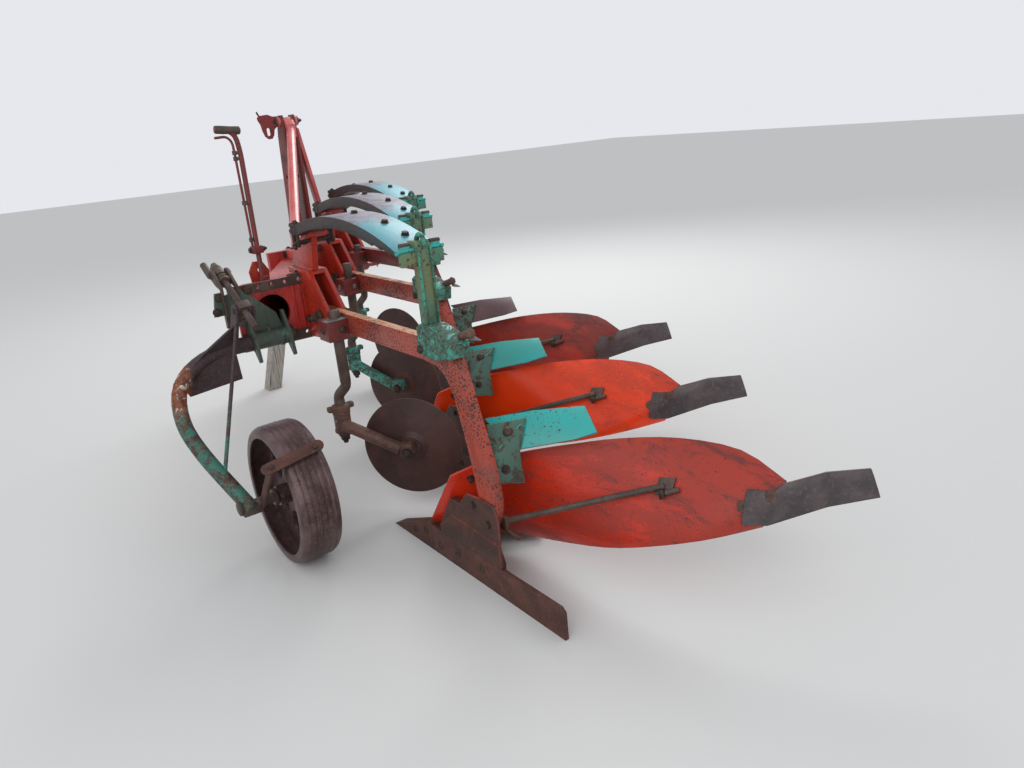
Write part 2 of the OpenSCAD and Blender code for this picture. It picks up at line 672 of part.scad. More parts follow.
module depth_screw() color("dimgray") field() along_screw() {
    translate([0, 0, -115]) cylinder(d = screw_d, h = screw_up + 115 + 60);
    translate([0, 0, screw_up - 18]) cylinder(d = 42, h = 36);
    translate([-38, 0, screw_up]) rotate([0, 90, 0]) cylinder(d = trunnion_d, h = 76);
    bent_bar(rounded([
        [0, 0, screw_up + 12], [0, 0, screw_up + 72], [0, 80, screw_up + 76], [0, 80, screw_up + 186]],
        28, 4), 20);
}

module screw_nut() color("dimgray") field() along_screw() difference() {
    union() {
        translate([-24, -26, -20]) cube([48, 52, 40]);
        translate([-36, 0, 0]) rotate([0, 90, 0]) cylinder(d = trunnion_d, h = 72);
    }
    translate([0, 0, -40]) cylinder(d = screw_d + 6, h = 80);
}

mast_gap = 68;
module mast_plate(x0) difference() {
    on_edge(x0, x0 + 16) polygon([
        [front_face, flange_low + 12], [front_face, flange_top + 1], [head_y - 40, flange_top + 20],
        [head_y - 44, mast_head_z - 80], [head_y - 26, mast_head_z + 34], [head_y + 26, mast_head_z + 34],
        [head_y + 62, mast_head_z - 80], [shaft_y + 34, flange_top - 60], [shaft_y + 40, hitch_z + 20],
        [shaft_y + 30, hitch_z - 42], [shaft_y - 30, hitch_z - 42], [shaft_y - 50, hitch_z]
    ]);
    cross_pin(x0 - 1, x0 + 17, top_link_y, top_link_z, top_bore_d);
    cross_pin(x0 - 1, x0 + 17, shaft_y, hitch_z, shaft_d);
    cross_pin(x0 - 1, x0 + 17, head_y, mast_head_z, mast_pin_d);
}
module mast() color("firebrick") field() {
    mast_plate(head_x - mast_gap / 2 - 8);
    mast_plate(head_x + mast_gap / 2 - 8);
}

mast_pin_d = 30;
strut_foot = [beam_x0 + 690 * furrow_w / body_gap, flange_y + 690];
module mast_strut() color("orangered") field() {
    bar(
        [strut_foot[0], strut_foot[1], beam_z + beam_h / 2 + 24],
        [head_x - 2, head_y - 52, mast_head_z - 50], 50);
    translate([strut_foot[0] - 30, strut_foot[1] - 50, beam_z + beam_h / 2]) cube([60, 110, 50]);
    on_edge(head_x - mast_gap / 2 + 8, head_x + mast_gap / 2 - 8) polygon([
        [head_y - 62, mast_head_z - 90], [head_y - 62, mast_head_z - 20], [head_y - 16, mast_head_z + 22],
        [head_y + 18, mast_head_z + 14], [head_y + 18, mast_head_z - 30], [head_y - 20, mast_head_z - 90]
    ]);
    for (side = [-1, 1]) cross_pin(min(side * (mast_gap / 2 - 9), side * (mast_gap / 2 + 26)) + head_x,
        max(side * (mast_gap / 2 - 9), side * (mast_gap / 2 + 26)) + head_x, head_y, mast_head_z, mast_pin_d);
    for (side = [-1, 1]) cross_pin(min(side * (mast_gap / 2 + 8.3), side * (mast_gap / 2 + 24)) + head_x,
        max(side * (mast_gap / 2 + 8.3), side * (mast_gap / 2 + 24)) + head_x,
        head_y, mast_head_z, mast_pin_d + 26
    );
}

module mast_brace() color("orangered") field()
    upright(head_y - 30, head_y + 30) polygon([
        [head_x + mast_gap / 2 + 8, mast_head_z - 110], [head_x + mast_gap / 2 + 8, mast_head_z - 40],
        [head_x + mast_gap / 2 + 22, mast_head_z - 44], [head_x + 142, flange_top], [head_x + 122, flange_top]
    ]);

module hitch_shaft() color("firebrick") field() {
    cross_pin(head_x - hitch_w / 2, head_x + hitch_w / 2, shaft_y, hitch_z, shaft_d);
    cross_pin(
        head_x - hitch_w / 2 - hitch_pin_l, head_x + hitch_w / 2 + hitch_pin_l,
        shaft_y, hitch_z, hitch_pin_d
    );
}

lever_at = [beam_x0 - 1, flange_y + 100];
module lever() color("firebrick") field() {
    bent_bar(rounded([
        [lever_at[0], lever_at[1], beam_z + beam_h / 2 + 30], [lever_at[0] + 8, lever_at[1], 1435],
        [lever_at[0] - 2, lever_at[1], 1505], [lever_at[0] - 75, lever_at[1], 1516]
    ], 40, 4), 20);
    translate([lever_at[0] - 15, lever_at[1] - 30, beam_z + beam_h / 2]) cube([30, 60, 40]);
}

// the prop is a weathered timber, leaning in under the cross shaft
prop_lean = 16;
module prop_post() color("gray") field() intersection() {
    translate([head_x - 345, shaft_y, 0]) rotate([0, prop_lean, 0]) translate([-prop_w / 2, -prop_w / 2, -60])
        cube([prop_w, prop_w, 1100]);
    translate([0, shaft_y - 200, 0]) cube([1000, 400, hitch_z - shaft_d / 2 - 0.2]);
}

main_beam();
beam_flanges();
leg_brackets();
leg_pivots();
spring_rear();
spring_middle();
spring_front();
spring_links();
leg_rear();
leg_middle();
leg_front();
leg_saddles();
frogs();
landsides();
share_points();
shares();
mouldboard_rear();
mouldboard_middle();
mouldboard_front();
board_tails();
trash_boards();
trash_brackets();
board_stays();
coulter_clamps();
coulter_stems();
coulter_arm_rear();
coulter_arm_middle();
coulter_arm_front();
disc_rear();
disc_middle();
disc_front();
wheel_mount();
wheel_pivot_shaft();
wheel_arm();
wheel_axle();
wheel_scraper();
depth_wheel();
screw_yoke();
depth_screw();
screw_nut();
mast();
mast_strut();
mast_brace();
hitch_shaft();
lever();
prop_post();
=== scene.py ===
import json
import math

import bpy
from mathutils import Matrix, Vector


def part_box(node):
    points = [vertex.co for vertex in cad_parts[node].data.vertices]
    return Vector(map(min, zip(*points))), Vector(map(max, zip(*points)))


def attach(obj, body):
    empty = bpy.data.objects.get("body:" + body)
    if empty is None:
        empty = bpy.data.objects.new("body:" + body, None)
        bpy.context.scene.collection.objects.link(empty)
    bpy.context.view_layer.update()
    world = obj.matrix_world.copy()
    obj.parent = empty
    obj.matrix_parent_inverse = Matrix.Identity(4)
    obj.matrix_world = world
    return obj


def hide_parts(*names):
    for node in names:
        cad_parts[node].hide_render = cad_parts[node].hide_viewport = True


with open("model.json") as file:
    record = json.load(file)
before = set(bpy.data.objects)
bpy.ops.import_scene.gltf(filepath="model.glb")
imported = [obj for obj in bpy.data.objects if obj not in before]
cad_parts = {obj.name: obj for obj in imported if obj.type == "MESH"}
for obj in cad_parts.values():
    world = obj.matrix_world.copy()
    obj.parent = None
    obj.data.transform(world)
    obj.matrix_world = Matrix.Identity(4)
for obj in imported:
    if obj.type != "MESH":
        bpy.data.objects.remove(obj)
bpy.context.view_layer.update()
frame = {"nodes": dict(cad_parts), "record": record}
nodes = frame["nodes"]

# The plough's own measures are in mm from the rear landside's heel. This moves such a place into the shared
# frame, in metres.
SHIFT = Vector((-0.4790, -1.3518, 0.0))
# From one plough body to the one ahead of it: a furrow's width to the right, and forward.
STEP = Vector((0.430, 0.770, 0.0))
PLACES = ("rear", "middle", "front")
BODY_OF = {node: body for body, members in frame["record"]["behaviour"]["bodies"].items() for node in members}


def at(x, y, z, body=0):
    """A place in mm on one of the plough bodies, in metres in the shared frame."""
    return Vector((x, y, z)) / 1000 + SHIFT + STEP * body


def degrees(*angles):
    """Angles in degrees, as radians."""
    return tuple(math.radians(angle) for angle in angles)


# Camera and light

SENSOR_MM = 36
FOCAL_PIXELS, PHOTO_WIDTH = 792.4, 1024
VIEW_TURN, VIEW_DIP, VIEW_ROLL = -35.2, 18.37, -5.57


def place_camera():
    """The photograph's view: from behind on the land side, at eye height."""
    turn, dip, roll = degrees(VIEW_TURN, VIEW_DIP, VIEW_ROLL)
    ahead = Vector((-math.sin(turn) * math.cos(dip), math.cos(turn) * math.cos(dip), -math.sin(dip)))
    right = Vector((math.cos(turn), math.sin(turn), 0))
    up = right.cross(ahead)
    side = right * math.cos(roll) + up * math.sin(roll)
    top = up * math.cos(roll) - right * math.sin(roll)
    data = bpy.data.cameras.new("camera")
    data.sensor_width = SENSOR_MM
    data.lens = FOCAL_PIXELS / PHOTO_WIDTH * SENSOR_MM
    camera = bpy.data.objects.new("camera", data)
    camera.matrix_world = Matrix((side, top, -ahead)).transposed().to_4x4()
    camera.location = at(-1191.8, -1545.6, 1448.9)
    bpy.context.collection.objects.link(camera)
    bpy.context.scene.camera = camera


def area_light(name, place, aim, size, watts):
    """A soft round lamp at a place, turned to its aim."""
    data = bpy.data.lights.new(name, "AREA")
    data.shape = "DISK"
    data.size = size
    data.energy = watts
    lamp = bpy.data.objects.new(name, data)
    lamp.location = place
    lamp.rotation_euler = (Vector(aim) - Vector(place)).to_track_quat("-Z", "Y").to_euler()
    bpy.context.collection.objects.link(lamp)


# Materials: patterns

def linear(hexa):
    """An sRGB colour written as RRGGBB, as linear RGBA."""
    parts = [int(hexa[i:i + 2], 16) / 255 for i in (0, 2, 4)]
    return tuple(p / 12.92 if p <= 0.04045 else ((p + 0.055) / 1.055) ** 2.4 for p in parts) + (1,)


def add(tree, kind, inputs=None, output=0, **settings):
    """Adds a shader node and gives one of its outputs. An input is a value, a colour as RRGGBB or an output."""
    node = tree.nodes.new("ShaderNode" + kind)
    for key, value in settings.items():
        setattr(node, key, value)
    for key, value in (inputs or {}).items():
        if isinstance(value, bpy.types.NodeSocket):
            tree.links.new(value, node.inputs[key])
        else:
            node.inputs[key].default_value = linear(value) if isinstance(value, str) else value
    return node.outputs[output] if node.outputs else None


def blank(name):
    """A material with an empty tree, and the place in metres that its patterns read."""
    material = bpy.data.materials.new(name)
    material.use_nodes = True
    material.node_tree.nodes.clear()
    return material, material.node_tree, add(material.node_tree, "TexCoord", output="Object")


def blend(tree, *layers):
    """Adds patterns up, each by its share. Where four values follow, the pattern is noise read at that place:
    the mm that its blotches are across, its detail, its roughness and how far it is warped."""
    total = None
    for pattern, share, *noise in layers:
        if noise:
            mm, detail, rough, warp = noise
            pattern = add(tree, "TexNoise", {
                "Vector": pattern, "Scale": 1000 / mm,
                "Detail": detail, "Roughness": rough, "Distortion": warp})
        part = add(tree, "Math", {0: pattern, 1: share}, operation="MULTIPLY", use_clamp=True)
        if total is None:
            total = part
        else:
            total = add(tree, "Math", {0: total, 1: part}, operation="ADD", use_clamp=True)
    return total


def patches(tree, low, high, *layers, strength=1.0):
    """Patches with soft edges where a blend of patterns passes from low to high."""
    return add(tree, "MapRange", {
        "Value": blend(tree, *layers), "From Min": low, "From Max": high, "To Max": strength},
        interpolation_type="SMOOTHSTEP")


def coats(tree, colour, *layers):
    """Lays colours over a first one, each where its pattern shows."""
    for share, over in layers:
        colour = add(tree, "Mix", {0: share, 6: colour, 7: over}, output=2, data_type="RGBA")
    return colour


def surface(material, colour, rough, relief=None, metal=0.0):
    """Gives a material its shader. Roughness is a value, or a pattern with the two values that it runs between.
    Relief is a pattern of heights with its depth in mm and its strength."""
    tree = material.node_tree
    inputs = {"Base Color": colour, "Metallic": metal, "Roughness": rough}
    if isinstance(rough, tuple):
        pattern, low, high = rough
        inputs["Roughness"] = add(tree, "MapRange", {"Value": pattern, "To Min": low, "To Max": high})
    if relief:
        height, depth_mm, strength = relief
        inputs["Normal"] = add(tree, "Bump", {
            "Height": height, "Distance": depth_mm / 1000, "Strength": strength})
    add(tree, "OutputMaterial", {"Surface": add(tree, "BsdfPrincipled", inputs)})
    return material


# Materials: finishes

def enamel(name, paint, faded, scuff, chip, chipped, scuffed, chip_mm=9, gloss=0.34, streak=None, top=None):
    """Machinery enamel that has stood outdoors: it fades in broad clouds, soil has scuffed it along its length,
    and it is chipped through to dark rusted steel in flecks of a few mm, thick in some places and thin in
    others. Rain may have streaked it down its sides, and patches of the faces that look up may be painted
    pale as a painted highlight, standing in for the sky's glare on them."""
    material, tree, place = blank(name)
    dragged = add(tree, "Mapping", {"Vector": place, "Rotation": degrees(12, 0, -28), "Scale": (1, 0.22, 1)})
    fade = patches(tree, 0.36, 0.64, (place, 1, 240, 4, 0.55, 0))
    rubbed = patches(tree, 0.62 - 0.16 * scuffed, 0.72 - 0.12 * scuffed,
                     (dragged, 0.66, 110, 8, 0.68, 0.5), (place, 0.34, 5, 4, 0.8, 0))
    bare = patches(tree, 0.66 - 0.14 * chipped, 0.675 - 0.14 * chipped,
                   (place, 0.72, chip_mm, 7, 0.62, 0.3), (place, 0.28, 150, 5, 0.6, 0.4))
    crust = coats(tree, chip, (blend(tree, (place, 1, 11, 5, 0.7, 0)), "55321F"))
    colour = coats(tree, paint, (fade, faded), (blend(tree, (rubbed, 0.82)), scuff), (bare, crust))
    if streak:
        falling = add(tree, "Mapping", {"Vector": place, "Rotation": degrees(0, 0, 0), "Scale": (1, 1, 0.07)})
        run = patches(tree, 0.56, 0.68, (falling, 1, 13, 5, 0.6, 0.2), strength=0.75)
        colour = coats(tree, colour, (run, streak))
    # Painted highlight: patches of the faces that look up take the top colour, standing in for the sky's glare;
    # worn here picks only those patches of painted highlight.
    if top:
        upward = add(tree, "SeparateXYZ", {"Vector": add(tree, "NewGeometry", output="True Normal")}, "Z")
        level = patches(tree, 0.6, 0.8, (upward, 1))
        worn = patches(tree, 0.4, 0.52, (place, 1, 60, 7, 0.7, 0.4), strength=0.85)
        colour = coats(tree, colour, (add(tree, "Math", {0: level, 1: worn}, operation="MULTIPLY"), top))
    whole = add(tree, "MapRange", {"Value": bare, "To Min": 1, "To Max": 0})
    height = blend(tree, (place, 0.3, 4, 4, 0.6, 0), (whole, 0.7))
    rough = (blend(tree, (bare, 0.8), (rubbed, 0.45)), gloss, 0.82)
    return surface(material, colour, rough, (height, 0.5, 0.45))


def mottled(name, paint, under, rust, cover, size_mm, gloss=0.45):
    """Old turquoise enamel on a casting, gone in ragged patches to a green-brown skin and dark rust."""
    material, tree, place = blank(name)
    skin = coats(tree, under, (patches(tree, 0.4, 0.66, (place, 1, 8, 6, 0.7, 0)), rust))
    lost = patches(tree, 0.56 - 0.12 * cover, 0.60 - 0.12 * cover,
                   (place, 0.75, size_mm, 9, 0.74, 0.7), (place, 0.25, 130, 3, 0.5, 0))
    colour = coats(tree, paint, (blend(tree, (place, 1, 60, 4, 0.6, 0)), under), (0.35, paint), (lost, skin))
    whole = add(tree, "MapRange", {"Value": lost, "To Min": 1, "To Max": 0})
    height = blend(tree, (place, 0.4, 5, 5, 0.65, 0), (whole, 0.5))
    return surface(material, colour, (lost, gloss, 0.84), (height, 0.8, 0.6))


def rusted(name, dark, mid, bright, metal=0.0, rough=0.72, pit_mm=9, paint=None, left=0.0):
    """Bare steel rusted all over: a tight dark brown skin, lighter where it is powdery, pitted, and perhaps with
    rests of paint left on it."""
    material, tree, place = blank(name)
    pits = blend(tree, (place, 1, pit_mm, 9, 0.74, 0))
    colour = coats(tree, dark,
                   (patches(tree, 0.38, 0.64, (place, 1, 110, 6, 0.62, 0.4)), mid),
                   (patches(tree, 0.5, 0.72, (pits, 1), strength=0.8), bright),
                   (patches(tree, 0.52, 0.7, (place, 1, 3, 4, 0.7, 0), strength=0.5), "1F1512"))
    if paint:
        rest = patches(tree, 0.66 - 0.16 * left, 0.7 - 0.16 * left,
                       (place, 0.8, 34, 9, 0.76, 0.4), (place, 0.2, 160, 2, 0.6, 0))
        colour = coats(tree, colour, (rest, paint))
    return surface(material, colour, (pits, rough - 0.24, min(rough + 0.22, 1)), (pits, 0.7, 0.55), metal)


def spring_finish(name, rear_y, front_y, worn):
    """Spring leaves: turquoise enamel at the rear end, worn through ahead to grey steel with a violet bloom,
    all of it flecked and streaked with rust. Faces that look sideways and down are painted near-black: partly
    the dark crusted rust down the leaves' sides, partly painted shade."""
    material, tree, place = blank(name)
    along = add(tree, "SeparateXYZ", {"Vector": place}, "Y")
    reach = add(tree, "MapRange", {"Value": along, "From Min": rear_y, "From Max": front_y})
    drawn = add(tree, "Mapping", {"Vector": place, "Rotation": degrees(0, 0, 0), "Scale": (1, 0.5, 1)})
    ragged = blend(tree, (drawn, 1, 70, 9, 0.74, 0.6))
    bare = patches(tree, 0.52 - worn, 0.62 - worn, (reach, 0.85), (ragged, 0.5))
    coat = coats(tree, "38959E", (patches(tree, 0.35, 0.65, (ragged, 1)), "5893A0"))
    steel = coats(tree, "84828F", (patches(tree, 0.36, 0.66, (place, 1, 40, 7, 0.7, 0)), "625A60"))
    speck = patches(tree, 0.62, 0.68, (place, 1, 7, 7, 0.72, 0))
    scored = add(tree, "Mapping", {"Vector": place, "Rotation": degrees(0, 0, 24), "Scale": (1, 0.12, 1)})
    line = patches(tree, 0.63, 0.68, (scored, 1, 16, 6, 0.7, 1.2))
    rust = blend(tree, (blend(tree, (speck, 1), (line, 0.6)), 0.85))
    # Painted shade as well as rust: faces that look sideways and down are painted near-black, partly the leaves'
    # crusted rust and partly shade painted into the colour.
    upward = add(tree, "SeparateXYZ", {"Vector": add(tree, "NewGeometry", output="True Normal")}, "Z")
    side = patches(tree, 0.45, 0.3, (upward, 1), strength=0.94)
    crust = coats(tree, "1E1513", (patches(tree, 0.4, 0.66, (place, 1, 9, 7, 0.7, 0)), "3A2A24"))
    colour = coats(tree, coat, (bare, steel), (rust, "46322A"), (side, crust))
    rough = (blend(tree, (speck, 1), (bare, 0.2)), 0.46, 0.8)
    return surface(material, colour, rough, (blend(tree, (place, 1, 5, 7, 0.7, 0)), 0.5, 0.35), 0.1)


# The arm's upper bend starts at this height, and its burnt outer side lies left of this X, in metres.
ARM_BEND_Z, ARM_OUTER_X = 0.60, -1.0


def arm_finish(name):
    """The depth wheel's arm: green-turquoise enamel over brown rust below, dark pitted plate above, and burnt
    orange on the outside of the upper bend, where white primer shows in flakes."""
    material, tree, place = blank(name)
    patch = blend(tree, (place, 0.7, 46, 9, 0.74, 0.6), (place, 0.3, 8, 6, 0.7, 0))
    rust = coats(tree, "3A261F", (patches(tree, 0.4, 0.62, (place, 1, 20, 7, 0.7, 0)), "5A3A2C"))
    lower = coats(tree, "2F6A5C", (patches(tree, 0.47, 0.53, (patch, 1)), rust))
    height = add(tree, "SeparateXYZ", {"Vector": place}, "Z")
    bend = patches(tree, ARM_BEND_Z, ARM_BEND_Z + 0.07, (height, 1), (patch, 0.16))
    across = add(tree, "SeparateXYZ", {"Vector": place}, "X")
    outer = add(tree, "MapRange", {"Value": across, "From Min": ARM_OUTER_X, "From Max": ARM_OUTER_X - 0.03},
                interpolation_type="SMOOTHSTEP")
    dark = coats(tree, "33262A", (patches(tree, 0.42, 0.66, (place, 1, 9, 7, 0.72, 0)), "4E3A38"))
    orange = coats(tree, "8A4826", (patches(tree, 0.42, 0.6, (place, 1, 18, 8, 0.72, 0)), "4A2C22"))
    flakes = patches(tree, 0.55, 0.59, (place, 1, 30, 9, 0.78, 0.5))
    primer = add(tree, "Math", {0: flakes, 1: outer}, operation="MULTIPLY")
    upper = coats(tree, dark, (outer, orange), (primer, "C9C4B8"))
    return surface(material, coats(tree, lower, (bend, upper)), (patch, 0.4, 0.8), (patch, 0.8, 0.5))


def board_finish(name, node, paint, deep, scuff, worn):
    """A mouldboard's enamel: even and glossy, but scuffed to dark red and smeared with soil toward its tail, with
    fine scratches along the flow of the soil and brown flecks."""
    material, tree, place = blank(name)
    low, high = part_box(node)
    flow = add(tree, "Mapping", {"Vector": place, "Rotation": degrees(20, 0, -30), "Scale": (1, 0.12, 1)})
    tailward = add(tree, "MapRange", {
        "Value": add(tree, "SeparateXYZ", {"Vector": place}, "X"),
        "From Min": low[0] * 0.6 + high[0] * 0.4, "From Max": high[0]})
    fade = patches(tree, 0.38, 0.62, (place, 1, 300, 3, 0.5, 0))
    rubbed = patches(tree, 0.56 - 0.1 * worn, 0.64 - 0.1 * worn,
                     (flow, 0.6, 150, 9, 0.7, 0.5), (place, 0.4, 6, 6, 0.75, 0), (tailward, 0.1))
    scratch = patches(tree, 0.6, 0.66, (flow, 1, 9, 8, 0.72, 0.3), strength=0.1 + 0.5 * worn)
    grime = patches(tree, 0.60 - 0.04 * worn, 0.66,
                    (flow, 0.7, 60, 9, 0.78, 0.6), (place, 0.3, 4, 6, 0.8, 0), (tailward, 0.05 + 0.08 * worn),
                    strength=0.72)
    bare = patches(tree, 0.665 - 0.05 * worn, 0.68 - 0.05 * worn,
                   (place, 0.75, 8, 5, 0.6, 0), (place, 0.25, 200, 4, 0.6, 0.4))
    colour = coats(tree, paint, (fade, deep), (blend(tree, (rubbed, 0.75)), scuff), (scratch, "4A1C14"),
                   (grime, "44221F"), (bare, "33190F"))
    whole = add(tree, "MapRange", {"Value": bare, "To Min": 1, "To Max": 0})
    height = blend(tree, (flow, 0.3, 20, 4, 0.5, 0), (whole, 0.7))
    return surface(material, colour, (blend(tree, (rubbed, 0.5), (bare, 1)), 0.27, 0.75), (height, 0.4, 0.35))


def weathered_timber(name):
    """Sawn softwood that has greyed outdoors: long silver grain along the post, dark checks in it."""
    material, tree, place = blank(name)
    along = add(tree, "Mapping", {"Vector": place, "Rotation": degrees(0, -16, 0), "Scale": (1, 1, 0.06)})
    grain = blend(tree, (along, 1, 9, 8, 0.7, 0.4))
    colour = coats(tree, "7C766E", (patches(tree, 0.35, 0.65, (grain, 1)), "B5AEA4"),
                   (patches(tree, 0.6, 0.68, (along, 1, 22, 4, 0.6, 0.8)), "45403A"))
    return surface(material, colour, 0.88, (grain, 1, 0.6))


# Brushed machinery enamel on the beam and its brackets: orange-red, chalked darker, with many brown flecks.
RED = enamel("weathered orange-red enamel", "B4301C", "9C2C20", "74281E", "2E1D19", 0.66, 0.6)
# The same on the bolted flanges, where rain has drawn dark streaks down it.
RED_FLANGE = enamel("rain-streaked red enamel", "AE2C26", "9A2C2A", "782624", "2C1A16", 0.66, 0.55, 7, 0.4,
                    streak="3A1814")
# On the rear legs: thickly flaked and faded pinkish in clouds, with a painted highlight in pale tan on
# patches of the faces that look up, standing in for the sky's glare on their tops.
RED_LEG = enamel("flaking orange-red enamel", "AE3A20", "9C4436", "6E4A42", "2E2428", 1.0, 0.8, 7,
                 top="D69A6A")
# On the headstock's stays: bleached pinkish and still glossy enough to take a white streak of light.
RED_PALE = enamel("sun-bleached red enamel", "C2463C", "CC6A68", "8E3A34", "4A2A26", 0.35, 0.3, 8, 0.26)
# On handled and greasy parts: dull, dark, worn through in many places.
RED_DARK = enamel("dark worn red enamel", "7E2420", "6A2A26", "4A2A28", "2A1A17", 0.6, 0.7, 8, 0.42)
# Turquoise enamel on the links, faded to olive.
LINK = enamel("olive-faded turquoise enamel", "3E7A66", "6A7450", "5A5038", "33261C", 0.6, 0.75, 12, 0.42)
# On castings: turquoise in ragged patches on a green-brown skin.
TEAL = mottled("mottled turquoise enamel", "2FA08E", "4C6E5E", "33241C", 0.75, 24)
# On the trash boards' brackets: mostly gone to brown-grey.
TEAL_PLATE = mottled("grey-green worn enamel", "3E6E60", "4E463C", "352822", 0.4, 34)
# On the trash boards: the brightest turquoise of all, chipped.
TURQUOISE = enamel("bright turquoise enamel", "2AA6A0", "3A9C94", "5E8480", "33261F", 0.5, 0.4, 10, 0.36)
# On the front trash board, whose paint is gone: plum-brown steel with a pale bloom.
PLUM = enamel("enamel worn to plum-brown steel", "5C4446", "6E5656", "8A7C7C", "6A3026", 0.55, 0.6, 14, 0.5)
# On the depth wheel's mounting plate: dark grey-green with dark runs.
GREEN_GREY = enamel("dark grey-green enamel", "3E4C42", "48564A", "33342C", "241914", 0.6, 0.6, 9, 0.45,
                    streak="2A1C16")
# Round the pivot tube: dark with old oil.
TUBE = mottled("oily turquoise enamel", "2F7F78", "38423A", "281C18", 0.85, 40, 0.35)
# On the depth wheel's arm: green over brown below, burnt orange with white flakes at its upper bend.
ARM = arm_finish("burnt turquoise enamel")
# On the three mouldboards: the rear one scuffed, the middle one nearly new and bright, the front one dull.
BOARD_NEAR = board_finish("scuffed board enamel", "mouldboard_rear", "CC2E12", "BC2A14", "8E2C1C", 0.8)
BOARD_BRIGHT = board_finish("glossy board enamel", "mouldboard_middle", "EE4210", "E43C0E", "B4361A", 0.22)
BOARD_FAR = board_finish("dull board enamel", "mouldboard_front", "B0301E", "A03024", "6E2A20", 0.6)
# Ground steel of the shares and landsides, rusted since it last worked, with a few flecks of red.
RUST = rusted("rust-brown steel", "3E241C", "5C352A", "7E4E3E", paint="8A3020", left=0.12)
# The same on the frogs, with much of their red left.
RUST_PAINT = rusted("rust-brown steel with rests of red", "38231C", "4E3026", "6A4434",
                    paint="96301F", left=0.35)
# Rolled disc steel: tight, even and dark, a little shiny.
RUST_DISC = rusted("dark rusted disc steel", "36211C", "482C25", "5E3C30", 0.1, 0.55, 6)
# The wheel's rim, polished by the ground under its rust: purple-brown with a sheen.
RUST_WHEEL = rusted("worn rust-brown wheel steel", "44302F", "665052", "8C6E60", 0.35, 0.42, 10)
# Drawn bar and forgings that have been handled: grey-brown, half bare.
RUST_GREY = rusted("grey-brown rusted bar", "40342F", "5A4A42", "7A5C48", 0.25, 0.55, 8)
# Rough casting, evenly rusted.
RUST_ARM = rusted("rust-brown casting", "4A3028", "66463A", "7E6050", 0.05, 0.62, 14)
# Spring steel of the tail pieces: blue-grey, with a few flecks of red.
STEEL = rusted("dull blue-grey bare steel", "4A4345", "5E5556", "7A6C66", 0.4, 0.45, 12,
               paint="8E3424", left=0.12)
# Bolts and nuts as old as the plough: nearly black, a little shiny where spanners have been.
BOLT = rusted("dark rusted bolt steel", "2E211C", "46342B", "6A4A38", 0.2, 0.6, 5)
# Zinc-plated bolts that were put in later: pale grey.
BOLT_PALE = rusted("pale galvanised bolt steel", "6E6E6C", "8A8884", "A09A90", 0.5, 0.45, 5)
# Edges, where paint goes first: rust and rubbed steel, or rests of the paint beside them.
EDGE_DARK = rusted("worn edge, rust and bare steel", "3A2620", "57382C", "8A6A5C", 0.25, 0.5, 8)
EDGE_RED = rusted("worn edge with rests of red", "5A2A20", "7E3A2A", "94564A", 0.1, 0.45, 8,
                  paint="A8301E", left=0.8)
EDGE_TEAL = rusted("worn edge with rests of turquoise", "3A3428", "4A5A4C", "6A6A5A", 0.1, 0.5, 8,
                   paint="2FA898", left=0.9)
# On the prop's post: silver-grey grain with dark checks.
TIMBER = weathered_timber("grey weathered timber")
# Under the plough: matt and pale, so that the shadow under it shows.
FLOOR = surface(blank("pale studio floor")[0], "CFCFCC", 0.9)


# Modelling

# Corners sharper than the first angle are eased; faces that meet at less than the second are shaded as one.
HARD_EDGE = math.radians(35)
SMOOTH_EDGE = math.radians(32)
# Points nearer than this, in metres, are one point; the CAD's own triangles take a closer measure.
MERGE, CAD_MERGE = 0.00001, 0.000002
ACROSS = {
    "x": ((0, 1, 0), (0, 0, 1), (1, 0, 0)),
    "y": ((1, 0, 0), (0, 0, 1), (0, -1, 0)),
    "z": ((1, 0, 0), (0, 1, 0), (0, 0, 1)),
}
SIDES = (("left", -1), ("right", 1))


def pick(obj):
    """Makes one object alone the selected and active one."""
    bpy.ops.object.select_all(action="DESELECT")
    obj.select_set(True)
    bpy.context.view_layer.objects.active = obj


def finish_with(obj, kind, **settings):
    """Gives an object a modifier and applies it."""
    pick(obj)
    modifier = obj.modifiers.new(kind.lower(), kind)
    for key, value in settings.items():
        setattr(modifier, key, value)
    bpy.ops.object.modifier_apply(modifier=modifier.name)
    return obj


def ease(obj, mm, material=-1):
    """Rounds the hard edges of a piece; the rounds may take the material of another slot."""
    return finish_with(obj, "BEVEL", width=mm / 1000, segments=2, limit_method="ANGLE", angle_limit=HARD_EDGE,
                       use_clamp_overlap=True, material=material)


def close_up(obj):
    """Merges a piece's doubles and turns its faces outwards."""
    pick(obj)
    bpy.ops.object.mode_set(mode="EDIT")
    bpy.ops.mesh.select_all(action="SELECT")
    bpy.ops.mesh.remove_doubles(threshold=MERGE)
    bpy.ops.mesh.normals_make_consistent(inside=False)
    bpy.ops.object.mode_set(mode="OBJECT")
    return obj


def turned(steps, sides=24):
    """A lathe piece standing on +Z: a disc drawn up through (radius, height) steps in mm."""
    radius, base = steps[0]
    bpy.ops.object.select_all(action="DESELECT")
    bpy.ops.mesh.primitive_circle_add(
        vertices=sides, radius=radius / 1000, fill_type="NGON", location=(0, 0, 0))
    obj = bpy.context.object
    bpy.ops.object.mode_set(mode="EDIT")
    bpy.ops.mesh.select_all(action="SELECT")
    bpy.ops.transform.translate(value=(0, 0, base / 1000))
    for wider, height in steps[1:]:
        bpy.ops.mesh.extrude_region_move(TRANSFORM_OT_translate={"value": (0, 0, (height - base) / 1000)})
        widening = (wider / radius, wider / radius, 1)
        bpy.ops.transform.resize(value=widening, center_override=(0, 0, height / 1000))
        radius, base = wider, height
    bpy.ops.mesh.select_all(action="SELECT")
    bpy.ops.mesh.normals_make_consistent(inside=False)
    bpy.ops.object.mode_set(mode="OBJECT")
    return obj


